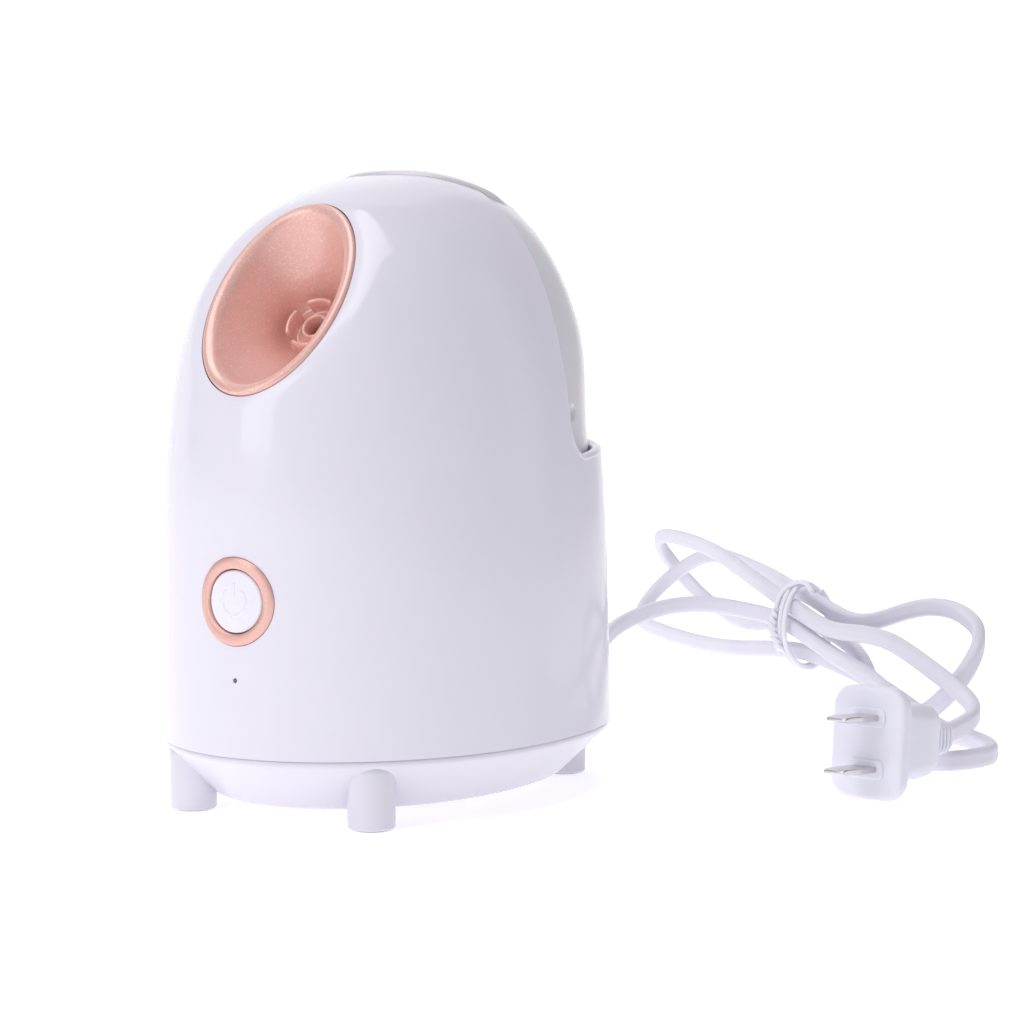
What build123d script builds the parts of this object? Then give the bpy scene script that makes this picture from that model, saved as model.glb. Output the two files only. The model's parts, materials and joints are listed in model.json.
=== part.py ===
from build123d import *
import os
from math import cos, pi, radians, sin, tan

os.makedirs("parts", exist_ok=True)

# ---------------------------------------------------------------- driving dimensions, mm
# Z is up and the steam nozzle faces -Y. The origin is on the table, under the middle of the body.
HEIGHT = 155.0
SEAM_Z = 17.0
HALF_WIDTH = 51.0
FRONT_REACH = 64.5
REAR_REACH = 57.5
CENTRE_Y = 3.5
APEX_SHIFT = 6.0
WALL = 2.4
DOME_LEVELS = [0, 0.15, 0.3, 0.45, 0.58, 0.69, 0.78, 0.85, 0.905, 0.945, 0.972, 0.988, 0.996, 0.9993, 0.99995]

BASE_BOTTOM_Z = 3.5
LEG_RADIUS = 5.7
LEG_PLACES = [(-26.0, -43.2), (26.0, -43.2), (-25.0, 48.5), (25.0, 48.5)]
PAD_PROUD = 0.3
SCREW_SEAT_Z = 13.0

NOZZLE_CENTRE = (0.0, -42.8, 123.8)
NOZZLE_TILT = 35.8
NOZZLE_RX = 18.85
NOZZLE_RY = 27.65

BUTTON_Z = 53.6
BUTTON_RADIUS = 7.35
RING_INNER = 7.6
RING_OUTER = 10.35
BUTTON_TRAVEL = 0.8
LED_Z = 35.2
BOARD_Y = -47.0

TANK_FRONT_Y = 13.9
TANK_FLOOR_Z = 78.0
TANK_WALL = 1.8
TANK_CAP_Y = 34.0
TANK_CAP_RADIUS = 15.0
DOCK_FLOOR_Z = 75.5
COLLAR_Z = 86.0

BOILER_Y = -8.0
BOILER_RADIUS = 19.0
BOILER_LOW_Z = 40.0
BOILER_TOP_Z = 68.0
FEED_Z = 62.0

GLAND_Z = 30.0
GLAND_TIP_Y = 84.0
CORD_DIAMETER = 5.3

TIE_PLACE = (6.0, 238.0)
HANK_HEADING = -46.0

PLUG_PLACE = (110.0, 49.0)
PLUG_TURN = 4.0
PLUG_LIFT = 5.0


# ---------------------------------------------------------------- helpers
def save(name, shape):
    """Write one sub-part, as its solids only, under its node name."""
    solids = shape.solids() if hasattr(shape, "solids") else [shape]
    body = solids[0] if len(solids) == 1 else Compound(children=list(solids))
    export_step(body, f"parts/{name}.step")


def body_sizes(z, inset):
    """Half width, front reach, rear reach and centre of the body surface at a height."""
    top = HEIGHT - inset
    t = min(max((z - SEAM_Z) / (top - SEAM_Z), 0), 1)
    cap = (1 - t ** 4.3) ** (1 / 2.4)
    front_cap = (1 - t ** 7) ** (1 / 1.65)
    half = (HALF_WIDTH - inset) * (1 - 0.06 * t) * cap
    front = (FRONT_REACH - inset) * front_cap
    rear = (REAR_REACH - inset) * (1 - 0.05 * t) * cap
    return half, front, rear, CENTRE_Y + APEX_SHIFT * t ** 5


def section(z, inset, size_z=None):
    """The body outline: an ellipse in front and a squarer curve behind, as one closed spline."""
    half, front, rear, centre = body_sizes(z if size_z is None else size_z, inset)
    points = []
    count = 32
    for k in range(count):
        angle = 2 * pi * k / count
        s, c = sin(angle), cos(angle)
        power = 2 / 2.0 if s < 0 else 2 / 2.5
        reach = front if s < 0 else rear
        x = half * abs(c) ** power * (1 if c > 0 else -1)
        y = centre + reach * abs(s) ** power * (1 if s > 0 else -1)
        points.append((x, y, z))
    return Face(Wire(Spline(*points, periodic=True)))


def dome(inset=0.0):
    """The solid under the body surface, from the seam up, a constant depth inside it."""
    top = HEIGHT - inset
    return loft([section(SEAM_Z + (top - SEAM_Z) * t, inset) for t in DOME_LEVELS])


def rod(radius, x, y, low, high):
    """An upright cylinder."""
    return Pos(x, y, low) * Cylinder(radius, high - low, align=(Align.CENTER, Align.CENTER, Align.MIN))


def rod_y(radius, x, z, low, high):
    """A cylinder along Y, from the front end low to the rear end high."""
    return Pos(x, low, z) * Rot(-90, 0, 0) * Cylinder(
        radius, high - low, align=(Align.CENTER, Align.CENTER, Align.MIN))


def block(x0, x1, y0, y1, z0, z1):
    """A box between two corners."""
    return Pos((x0 + x1) / 2, (y0 + y1) / 2, (z0 + z1) / 2) * Box(abs(x1 - x0), abs(y1 - y0), abs(z1 - z0))


def route_path(points, share=0.45):
    """Straight runs joined by tangent arcs, each as large as its runs allow; also the radii."""
    vectors = [Vector(*p) for p in points]
    radii = []
    for before, at, after in zip(vectors, vectors[1:], vectors[2:]):
        first, second = at - before, after - at
        turn = radians(first.get_angle(second))
        radii.append(share * min(first.length, second.length) / tan(turn / 2))
    return FilletPolyline(*points, radius=radii), radii


def tube(points, radius, name=None, bore=0.0):
    """A round tube along a route."""
    path, radii = route_path(points)
    start = Plane(origin=path @ 0, z_dir=path % 0)
    ring = start * Circle(radius)
    if bore:
        ring -= start * Circle(bore)
    solid = sweep(ring, path=path)
    if name:
        print(f"{name}: radii", [round(r, 1) for r in radii], "length", round(path.length, 1),
              "volume ratio", round(solid.volume / (pi * (radius ** 2 - bore ** 2) * path.length), 3))
    return solid


nozzle_normal = (0, -cos(radians(NOZZLE_TILT)), sin(radians(NOZZLE_TILT)))
nozzle_plane = Plane(origin=NOZZLE_CENTRE, x_dir=(1, 0, 0), z_dir=nozzle_normal)


def nozzle_loft(rows):
    """A loft through ellipses in the nozzle: rows of depth, shift up the slope, half sizes."""
    return loft([nozzle_plane * Pos(0, shift, -depth) * Ellipse(rx, ry) for depth, shift, rx, ry in rows])


def nozzle_rod(radius, shift, deep, shallow):
    """A cylinder along the nozzle axis, between two depths below the mouth."""
    return nozzle_plane * Pos(0, shift, -deep) * Cylinder(
        radius, deep - shallow, align=(Align.CENTER, Align.CENTER, Align.MIN))


# ---------------------------------------------------------------- casing
outer = dome()
inner = dome(WALL)
THROAT_SHIFT = 3.0
THROAT_DEPTH = 18.5
FUNNEL_OUTSIDE = [(-4, 0, 18.85, 27.65), (0, 0, 18.85, 27.65), (2.5, 0.1, 18.2, 26.9), (6, 0.8, 15.3, 20.8),
                  (11, 1.8, 12.3, 14.6), (16, 2.6, 10.6, 11.3), (20, THROAT_SHIFT, 10.0, 10.1)]
FUNNEL_BOWL = [(-6, 0, 17.4, 26.2), (0, 0, 16.6, 25.2), (2, 0.2, 15.0, 23.0), (6, 0.8, 12.9, 18.0),
               (11, 1.8, 10.3, 12.6), (16, 2.6, 8.9, 9.4), (THROAT_DEPTH, THROAT_SHIFT, 8.4, 8.4)]
DECK_DEPTHS = (11.0, 9.0)


def scoop(front_y, corner_x, corner_z, rear_z):
    """The side view of the tank opening, cut right through the body from side to side."""
    return extrude(Plane.YZ.offset(-70) * make_face(Wire([
        Line((front_y, 170), (front_y, corner_z + 9)),
        Spline((front_y, corner_z + 9), (corner_x - 1.4, corner_z + 2.2), (corner_x + 3.5, corner_z),
               (corner_x + 15, corner_z + 0.9), tangents=[(0, -1), (1, 0.1)]),
        Line((corner_x + 15, corner_z + 0.9), (90, rear_z + 4)),
        Line((90, rear_z + 4), (90, 170)),
        Line((90, 170), (front_y, 170)),
    ])), 140)


tongue_zone = rod(24.0, 0, 24.0, 140, 170)
tongue_recess = rod(24.4, 0, 24.0, 140, 170) & (dome(-2.0) - dome(1.35))


def make_main_shell():
    """The one-piece upper housing, with its screw bosses, nozzle deck and openings."""
    shell = outer - inner
    deck = nozzle_plane * Pos(0, 0, -DECK_DEPTHS[0]) * Box(
        70, 80, DECK_DEPTHS[0] - DECK_DEPTHS[1], align=(Align.CENTER, Align.CENTER, Align.MIN))
    deck -= nozzle_loft([(12, 1.5, 14.6, 18.0), (8, 1.5, 14.6, 18.0)])
    shell += deck & dome(WALL - 0.6) & block(-60, 60, -80, 9.5, 90, 170)
    for x, y in LEG_PLACES:
        post = rod(4.0, x, y, SEAM_Z + 3.2, 34)
        rib = block(x - 1, x + 1, y, y + (12 if y > 0 else -14), SEAM_Z + 4, 34)
        shell += (post + rib) & dome(WALL - 0.6)
        shell -= rod(1.5, x, y, SEAM_Z, 32)
    shell -= nozzle_plane * Box(60, 80, 30, align=(Align.CENTER, Align.CENTER, Align.MIN))
    shell -= nozzle_loft([(r[0], r[1], r[2] + 0.2, r[3] + 0.2) for r in FUNNEL_OUTSIDE[:5]])
    shell -= scoop(13.5, 16.0, COLLAR_Z - 0.4, COLLAR_Z + 1)
    shell -= tongue_recess
    shell -= rod_y(RING_OUTER + 0.1, 0, BUTTON_Z, -80, -50)
    shell -= rod_y(0.7, 0, LED_Z, -80, -50)
    shell -= rod_y(5.0, 0, GLAND_Z, 50, 80)
    for side in (-1, 1):
        for z in (30.0, 72.0):
            boss = rod_y(2.6, side * 16, z, -70, BOARD_Y - 1.0)
            shell += boss & dome(WALL - 0.6)
            shell -= rod_y(0.85, side * 16, z, BOARD_Y - 8, BOARD_Y)
    return shell


save("main_shell", make_main_shell())


def make_base_tray():
    """The floor of the housing: a rounded shoulder, 45 degree sides and four hollow legs."""
    rows = [(SEAM_Z - 0.15, 0.5), (16.2, 0.5), (15.5, 0.8), (15.0, 1.3), (4.4, 11.9), (3.9, 12.7), (3.6, 13.6)]
    wall = 2.0
    tray = loft([section(z, inset, SEAM_Z) for z, inset in rows], ruled=True)
    hollow = loft([section(z, inset + wall, SEAM_Z) for z, inset in
                   [(SEAM_Z + 1, 0.6), (15.6, 0.6), (5.6, 10.8)]], ruled=True)
    tray -= hollow
    rim = extrude(section(SEAM_Z - 2, WALL + 0.2, SEAM_Z), 5) - extrude(section(SEAM_Z - 2, WALL + 1.8, SEAM_Z), 5)
    tray += rim - block(-8, 8, 50, 70, SEAM_Z - 0.15, 30)
    for x, y in LEG_PLACES:
        leg = Pos(x, y, PAD_PROUD) * Cone(
            LEG_RADIUS - 0.15, LEG_RADIUS, SCREW_SEAT_Z, align=(Align.CENTER, Align.CENTER, Align.MIN))
        tray += leg
        tray += rod(4.6, x, y, SCREW_SEAT_Z - 2, SEAM_Z + 3)
        tray -= rod(3.4, x, y, PAD_PROUD - 1, SCREW_SEAT_Z)
        tray -= rod(1.6, x, y, SCREW_SEAT_Z - 1, SEAM_Z + 4)
        tray -= rod(4.4, x, y, PAD_PROUD - 1, PAD_PROUD + 1.5)
    for k in range(7):
        tray -= block(-18 + 6 * k - 1, -18 + 6 * k + 1, -12, 12, 0, 8)
    return tray


save("base_tray", make_base_tray())

pads = []
for leg_x, leg_y in LEG_PLACES:
    pads.append(rod(4.3, leg_x, leg_y, 0, PAD_PROUD + 1.4))
save("foot_pads", Compound(children=pads))


def screw(head_radius, head_height, shank_radius, length):
    """A pan-head screw pointing up, its head's upper face at the origin."""
    head = Pos(0, 0, -head_height) * Cylinder(
        head_radius, head_height, align=(Align.CENTER, Align.CENTER, Align.MIN))
    head = fillet(head.edges().group_by(Axis.Z)[0], 0.3 * head_height)
    shank = Cylinder(shank_radius, length, align=(Align.CENTER, Align.CENTER, Align.MIN))
    slot = Pos(0, 0, -head_height) * (Box(head_radius, 0.6, 1.2) + Box(0.6, head_radius, 1.2))
    return head + shank - slot


save("base_screws", Compound(children=[
    Pos(x, y, SCREW_SEAT_Z) * screw(2.8, 2.2, 1.45, 16) for x, y in LEG_PLACES]))

# ---------------------------------------------------------------- steam nozzle
FLOOR_DEPTH = 20.0
funnel = nozzle_loft(FUNNEL_OUTSIDE[1:]) - nozzle_loft(FUNNEL_BOWL)
lip_gap = nozzle_rod(4.4, THROAT_SHIFT, 22, 15)
save("nozzle_funnel", funnel - lip_gap)


def make_nozzle_guard():
    """The notched ring round the steam outlet, with its inner cone and the pipe stub behind."""
    ring = nozzle_rod(7.0, THROAT_SHIFT, THROAT_DEPTH, 13.7) - nozzle_rod(6.0, THROAT_SHIFT, THROAT_DEPTH - 1, 13)
    for k in range(4):
        ring -= nozzle_plane * Pos(0, THROAT_SHIFT, -14.6) * Rot(0, 0, 45 + 90 * k) * Pos(6.5, 0, 0) * Box(
            4, 4.5, 3.6)
    cone = nozzle_plane * Pos(0, THROAT_SHIFT, -THROAT_DEPTH + 0.5) * Cone(
        5.2, 3.2, 2.6, align=(Align.CENTER, Align.CENTER, Align.MIN))
    stub = nozzle_rod(4.1, THROAT_SHIFT, 29.0, THROAT_DEPTH - 0.5)
    return ring + cone + stub - nozzle_rod(2.6, THROAT_SHIFT, 30, 12)


save("nozzle_guard", make_nozzle_guard())

lock_ring = nozzle_rod(17.5, 1.9, 13.6, DECK_DEPTHS[0] + 0.05)
lock_ring -= nozzle_loft([(16, 1.9, 12.9, 14.9), (9, 1.9, 12.9, 14.9)])
for k in range(8):
    lock_ring -= nozzle_plane * Pos(0, 1.9, -12.6) * Rot(0, 0, 45 * k + 22.5) * Pos(17.6, 0, 0) * Cylinder(1.6, 6)
save("nozzle_lock_ring", lock_ring)

# ---------------------------------------------------------------- power button and control board
front_skin = dome(-0.45)
front_back = dome(1.4)
button_ring = (rod_y(RING_OUTER, 0, BUTTON_Z, -80, -50) - rod_y(RING_INNER, 0, BUTTON_Z, -80, -50)) & front_skin
button_ring -= front_back
sleeve = rod_y(9.4, 0, BUTTON_Z, -60.2, -56.5) - rod_y(RING_INNER, 0, BUTTON_Z, -80, -50)
save("button_ring", button_ring + (sleeve & dome(0.3)))

button = rod_y(BUTTON_RADIUS, 0, BUTTON_Z, -80, -56.0) & dome(0.1)
button += rod_y(9.0, 0, BUTTON_Z, -56.2, -54.9)
button += rod_y(2.0, 0, BUTTON_Z, -55.2, -52.4)
save("power_button", button)

save("switch_plunger", rod_y(1.7, 0, BUTTON_Z, -52.4, -50.2))
switch = block(-3, 3, -50.6, BOARD_Y - 0.8, BUTTON_Z - 3, BUTTON_Z + 3)
switch -= rod_y(1.8, 0, BUTTON_Z, -55, -49.3)
for side in (-1, 1):
    for z in (-2.2, 2.2):
        switch += block(side * 3 - 0.6, side * 3 + 0.6, -48.9, BOARD_Y - 0.8, BUTTON_Z + z - 0.4, BUTTON_Z + z + 0.4)
save("tact_switch", switch)

board = block(-20, 20, BOARD_Y - 0.8, BOARD_Y + 0.8, 25, 77)
for side in (-1, 1):
    for z in (30.0, 72.0):
        board -= rod_y(1.3, side * 16, z, BOARD_Y - 3, BOARD_Y + 3)
save("control_board", board)
save("board_chip", block(-4, 4, BOARD_Y + 0.8, BOARD_Y + 2.4, 38, 43))
save("board_socket", block(-6, 6, BOARD_Y + 0.8, BOARD_Y + 6, 60, 66) - block(-5, 5, BOARD_Y + 1.8, BOARD_Y + 7, 61, 65))
save("board_screws", Compound(children=[
    Pos(side * 16, BOARD_Y + 0.8, z) * Rot(90, 0, 0) * screw(2.0, 1.5, 0.8, 8)
    for side in (-1, 1) for z in (30.0, 72.0)]))
led = rod_y(1.5, 0, LED_Z, -52.0, BOARD_Y - 0.8) + rod_y(1.9, 0, LED_Z, -49.0, BOARD_Y - 0.8)
save("indicator_led", led)
pipe = rod_y(0.62, 0, LED_Z, -63, -58.6) & dome(0.15)
pipe += rod_y(1.4, 0, LED_Z, -58.5, -52.1)
save("light_pipe", pipe)

# ---------------------------------------------------------------- water tank
def tank_inset(z):
    """How far the tank's outside lies inside the body surface: deeper towards the collar."""
    t = min(max((118.0 - z) / 30.0, 0), 1)
    return 0.6 + 2.5 * t * t * (3 - 2 * t)


def tank_form(extra, low):
    """The tank's outer form, or the hollow in it when extra is its wall."""
    top = HEIGHT - 0.6 - extra
    levels = [low + (top - low) * t for t in (0, 0.06, 0.12, 0.2, 0.3, 0.4, 0.5, 0.6, 0.7, 0.79, 0.86, 0.92,
                                              0.96, 0.984, 0.996, 0.9995)]
    return loft([section(z, tank_inset(z) + extra) for z in levels])


def make_water_tank():
    """The lift-off tank: a hollow quarter dome with a lifting lip, finger dents and a neck."""
    body = tank_form(0, TANK_FLOOR_Z) & block(-60, 60, TANK_FRONT_Y, 80, TANK_FLOOR_Z, 160)
    hollow = tank_form(TANK_WALL, TANK_FLOOR_Z + TANK_WALL)
    hollow &= block(-60, 60, TANK_FRONT_Y + TANK_WALL, 80, TANK_FLOOR_Z + TANK_WALL, 160)
    crescent = tongue_zone & (dome(-0.7) - dome(1.05)) & block(-40, 40, -5, 22, 140, 170)
    crescent -= rod(25.5, 0, 33.0, 140, 170) & dome(-2) - dome(0.45)
    body += crescent
    for side in (-1, 1):
        dent = Pos(side * 57.2, 19.0, 94.5) * scale(Sphere(13.0), by=(1, 0.55, 0.42))
        body -= dent
        edge = Plane(origin=(side * 44.8, 14.4, 118), x_dir=(0, 0, 1), z_dir=(side * 0.715, -0.697, -0.045))
        body -= edge * Box(120, 40, 20, align=(Align.CENTER, Align.CENTER, Align.MIN))
    body += rod(11.5, 0, TANK_CAP_Y, TANK_FLOOR_Z - 6.5, TANK_FLOOR_Z + 0.5)
    return body - hollow - rod(9.8, 0, TANK_CAP_Y, TANK_FLOOR_Z - 8, TANK_FLOOR_Z + 5)


save("water_tank", make_water_tank())

CAP_LOW = 69.0
VALVE_SEAT_Z = 66.0
cap = rod(TANK_CAP_RADIUS, 0, TANK_CAP_Y, CAP_LOW, TANK_FLOOR_Z - 0.6)
for k in range(18):
    cap -= Pos(0, TANK_CAP_Y, 73) * Rot(0, 0, 20 * k) * Pos(TANK_CAP_RADIUS + 0.4, 0, 0) * Cylinder(1.0, 14)
cap -= rod(11.9, 0, TANK_CAP_Y, CAP_LOW + 2.0, TANK_FLOOR_Z)
cap += rod(6.0, 0, TANK_CAP_Y, VALVE_SEAT_Z - 2.0, CAP_LOW + 1)
cap += rod(6.0, 0, TANK_CAP_Y, CAP_LOW, CAP_LOW + 6)
cap -= rod(4.8, 0, TANK_CAP_Y, CAP_LOW + 1, CAP_LOW + 7)
cap -= rod(3.2, 0, TANK_CAP_Y, VALVE_SEAT_Z - 3, CAP_LOW + 3)
for k in range(3):
    cap -= Pos(0, TANK_CAP_Y, CAP_LOW + 4.5) * Rot(0, 0, 120 * k) * Pos(5.5, 0, 0) * Box(3, 2.5, 4)
save("tank_cap", cap)
seal = rod(11.8, 0, TANK_CAP_Y, CAP_LOW + 2.0, CAP_LOW + 2.5) - rod(9.8, 0, TANK_CAP_Y, CAP_LOW, CAP_LOW + 4)
save("cap_seal", seal)

VALVE_LIFT = 2.5
plunger = rod(1.4, 0, TANK_CAP_Y, VALVE_SEAT_Z - 0.4, CAP_LOW + 4.9)
plunger += rod(4.2, 0, TANK_CAP_Y, CAP_LOW + 1.0 + VALVE_LIFT, CAP_LOW + 4.9)
save("valve_plunger", plunger)
spring = Pos(0, TANK_CAP_Y, CAP_LOW + 4.95) * Cylinder(3.9, 5.0, align=(Align.CENTER, Align.CENTER, Align.MIN))
spring -= Pos(0, TANK_CAP_Y, CAP_LOW + 4.9) * Cylinder(3.1, 6.0, align=(Align.CENTER, Align.CENTER, Align.MIN))
save("valve_spring", spring)
cage = rod(9.5, 0, TANK_CAP_Y, CAP_LOW + 10.0, CAP_LOW + 11.2) - rod(2.0, 0, TANK_CAP_Y, CAP_LOW, CAP_LOW + 12)
for k in range(3):
    cage += Pos(0, TANK_CAP_Y, CAP_LOW + 2.3) * Rot(0, 0, 120 * k + 60) * Pos(8.2, 0, 0) * Box(
        1.6, 3.0, 8.4, align=(Align.CENTER, Align.CENTER, Align.MIN))
    cage -= Pos(0, TANK_CAP_Y, CAP_LOW + 10.6) * Rot(0, 0, 120 * k) * Pos(6.2, 0, 0) * Box(4.0, 4.0, 3.0)
save("valve_cage", cage)

# ---------------------------------------------------------------- tank dock
def make_tank_dock():
    """The shelf that the tank stands on, the wall in front of it and the socket for its cap."""
    room = dome(WALL + 0.15)
    dock = room & block(-60, 60, 11.0, 80, DOCK_FLOOR_Z - 1.8, DOCK_FLOOR_Z)
    dock += room & block(-60, 60, 11.0, 12.8, DOCK_FLOOR_Z - 1.8, 150.5)
    dock += rod(18.0, 0, TANK_CAP_Y, CAP_LOW - 2.6, DOCK_FLOOR_Z - 1)
    dock -= rod(16.2, 0, TANK_CAP_Y, CAP_LOW - 0.8, DOCK_FLOOR_Z + 1)
    dock += rod(9.6, 0, TANK_CAP_Y, 58.0, CAP_LOW - 1.5) - rod(7.8, 0, TANK_CAP_Y, 60.0, CAP_LOW + 2)
    dock -= rod(7.8, 0, TANK_CAP_Y, 60.0, CAP_LOW + 2)
    dock += rod(1.2, 0, TANK_CAP_Y, 59.5, VALVE_SEAT_Z - 0.5)
    outlet = rod_y(2.6, 0, FEED_Z, 18.5, TANK_CAP_Y - 8.5)
    return dock + outlet - rod_y(1.5, 0, FEED_Z, 17.0, TANK_CAP_Y - 7.0)


save("tank_dock", make_tank_dock())
save("dock_seal", rod(7.75, 0, TANK_CAP_Y, 63.4, 65.8) - rod(6.15, 0, TANK_CAP_Y, 63.0, 66.0))

# ---------------------------------------------------------------- boiler
def boiler_rod(radius, low, high):
    """A cylinder on the boiler's axis."""
    return rod(radius, 0, BOILER_Y, low, high)


BOILER_EARS = [(BOILER_Y + 23.0 * sin(radians(a)), 23.0 * cos(radians(a))) for a in (30, 150, 270)]
cup = boiler_rod(BOILER_RADIUS, BOILER_LOW_Z, BOILER_TOP_Z)
for ear_y, ear_x in BOILER_EARS:
    cup += rod(3.6, ear_x, ear_y, BOILER_TOP_Z - 5, BOILER_TOP_Z)
    cup += Pos((ear_x) / 2, (ear_y + BOILER_Y) / 2, BOILER_TOP_Z - 2.5) * Rot(
        0, 0, {30: 30, 150: 150, 270: 270}[30 + 120 * BOILER_EARS.index((ear_y, ear_x))]) * Box(22, 5, 5)
cup -= boiler_rod(BOILER_RADIUS - 3.0, BOILER_LOW_Z + 4, BOILER_TOP_Z + 1)
cup += rod_y(2.6, 0, FEED_Z, BOILER_Y + BOILER_RADIUS - 1, 16.0)
cup -= rod_y(1.5, 0, FEED_Z, BOILER_Y + 10, 17.0)
for ear_y, ear_x in BOILER_EARS:
    cup -= rod(1.3, ear_x, ear_y, BOILER_TOP_Z - 6, BOILER_TOP_Z + 1)
save("boiler_cup", cup)

save("boiler_gasket", boiler_rod(BOILER_RADIUS - 0.3, BOILER_TOP_Z, BOILER_TOP_Z + 1.5)
     - boiler_rod(BOILER_RADIUS - 3.0, BOILER_TOP_Z - 1, BOILER_TOP_Z + 2))

LID_LOW = BOILER_TOP_Z + 1.5
lid = boiler_rod(BOILER_RADIUS, LID_LOW, LID_LOW + 3)
for ear_y, ear_x in BOILER_EARS:
    lid += rod(3.6, ear_x, ear_y, LID_LOW, LID_LOW + 3)
    lid += Pos(ear_x / 2, (ear_y + BOILER_Y) / 2, LID_LOW + 1.5) * Rot(
        0, 0, 30 + 120 * BOILER_EARS.index((ear_y, ear_x))) * Box(22, 5, 3)
lid += boiler_rod(4.1, LID_LOW, LID_LOW + 16)
lid -= boiler_rod(3.0, LID_LOW - 1, LID_LOW + 17)
for ear_y, ear_x in BOILER_EARS:
    lid -= rod(1.6, ear_x, ear_y, LID_LOW - 1, LID_LOW + 4)
save("boiler_lid", lid)
save("boiler_screws", Compound(children=[
    Pos(ear_x, ear_y, LID_LOW + 3) * Rot(180, 0, 0) * screw(2.6, 1.8, 1.2, 9) for ear_y, ear_x in BOILER_EARS]))

save("ptc_heater", boiler_rod(15.0, BOILER_LOW_Z - 3.0, BOILER_LOW_Z))
heater_clamp = block(-24, 24, BOILER_Y - 6, BOILER_Y + 6, BOILER_LOW_Z - 4.5, BOILER_LOW_Z - 3.0)
for side in (-1, 1):
    heater_clamp += block(side * 22.5 - 1.5, side * 22.5 + 1.5, BOILER_Y - 6, BOILER_Y + 6, 8.0, BOILER_LOW_Z - 3.0)
    heater_clamp += block(min(side * 21, side * 31), max(side * 21, side * 31), BOILER_Y - 6, BOILER_Y + 6, 6.6, 8.2)
    heater_clamp -= rod(1.7, side * 27.5, BOILER_Y, 5, 9)
save("boiler_bracket", heater_clamp)
save("bracket_screws", Compound(children=[
    Pos(side * 27.5, BOILER_Y, 8.2) * Rot(180, 0, 0) * screw(2.6, 1.8, 1.4, 2.5) for side in (-1, 1)]))

cutout = rod_y(6.5, 0, 52.0, BOILER_Y - BOILER_RADIUS - 6.5, BOILER_Y - BOILER_RADIUS - 1.0)
cutout += block(-12, 12, BOILER_Y - BOILER_RADIUS - 1.6, BOILER_Y - BOILER_RADIUS, 49, 55)
for side in (-1, 1):
    cutout += block(side * 3 - 0.4, side * 3 + 0.4, BOILER_Y - BOILER_RADIUS - 12, BOILER_Y - BOILER_RADIUS - 6,
                    49.5, 54.5)
save("thermal_cutout", cutout)
fuse_x = BOILER_RADIUS + 2.1
fuse = Pos(fuse_x, BOILER_Y, 44) * Cylinder(2.0, 12, align=(Align.CENTER, Align.CENTER, Align.MIN))
fuse += Pos(fuse_x, BOILER_Y, 40) * Cylinder(0.5, 20, align=(Align.CENTER, Align.CENTER, Align.MIN))
save("thermal_fuse", fuse)

# ---------------------------------------------------------------- hoses
stub_end = nozzle_plane.from_local_coords(Vector(0, THROAT_SHIFT, -22.0))
stub_far = nozzle_plane.from_local_coords(Vector(0, THROAT_SHIFT, -42.0))
bend_drop = (BOILER_Y - stub_end.Y) / cos(radians(NOZZLE_TILT))
bend_z = stub_end.Z - bend_drop * sin(radians(NOZZLE_TILT))
save("steam_hose", tube([(0, stub_end.Y, stub_end.Z), (0, BOILER_Y, bend_z), (0, BOILER_Y, LID_LOW + 5)],
                        5.6, "steam_hose", 4.2))
save("feed_hose", rod_y(3.8, 0, FEED_Z, 11.6, 24.0) - rod_y(2.7, 0, FEED_Z, 11.0, 25.0))

# ---------------------------------------------------------------- mains board and wiring
save("mains_board", block(-30, 30, 15, 42.5, 12.0, 13.6))
save("board_relay", block(8, 27, 20, 35, 13.6, 29))
save("film_capacitor", fillet(block(-8, 5, 20, 27, 13.6, 25).edges().filter_by(Axis.Z), 1.5))
save("terminal_block", block(-27, -12, 32, 42, 13.6, 24) - block(-25.5, -21, 38, 46, 15, 20) - block(-18, -13.5, 38, 46, 15, 20))
glass = Pos(-20, 24, 17.5) * Rot(0, 90, 0) * Cylinder(2.6, 15)
glass += Pos(-26, 24, 17) * Box(3, 6.4, 6.8) + Pos(-14, 24, 17) * Box(3, 6.4, 6.8)
save("mains_fuse", glass)
save("heater_wires", Compound(children=[
    tube([(side * 4, 26.5, 30 + side), (side * 5, 18, 33 + side), (side * 8, 12, 31), (side * 10, 7.5, 36.8)], 1.1)
    for side in (-1, 1)]))
save("control_cable", tube([(9.0, -41.5, 63), (16, -36, 62), (26, -26, 52), (29, -8, 44), (27, 7, 33), (22, 13, 24),
                            (20, 17.4, 14.38)], 1.8, "control_cable"))

# ---------------------------------------------------------------- mains cord, gland and clamp
gland = Pos(0, 58.0, GLAND_Z) * Rot(-90, 0, 0) * Cone(4.7, 3.6, GLAND_TIP_Y - 58.0,
                                                      align=(Align.CENTER, Align.CENTER, Align.MIN))
gland &= rod_y(4.7, 0, GLAND_Z, 50, GLAND_TIP_Y)
gland += rod_y(6.6, 0, GLAND_Z, 55.0, 58.0) + rod_y(6.4, 0, GLAND_Z, 61.3, 62.6)
for k in range(5):
    groove = rod_y(8, 0, GLAND_Z, 65.0 + 3.6 * k, 66.5 + 3.6 * k) - block(
        -1.2, 1.2, 60, 90, GLAND_Z - 9, GLAND_Z + 9) - rod_y(2.9, 0, GLAND_Z, 60, 90)
    gland -= groove
save("cord_gland", gland)
clamp = block(-11, 11, 47.5, 53.5, GLAND_Z + 2.8, GLAND_Z + 5.2)
for side in (-1, 1):
    clamp -= rod(1.6, side * 8.2, 50.5, GLAND_Z, GLAND_Z + 8)
save("cord_clamp", clamp)
save("clamp_screws", Compound(children=[
    Pos(side * 8.2, 50.5, GLAND_Z + 5.2) * Rot(180, 0, 0) * screw(2.4, 1.6, 1.4, 9) for side in (-1, 1)]))
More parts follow.
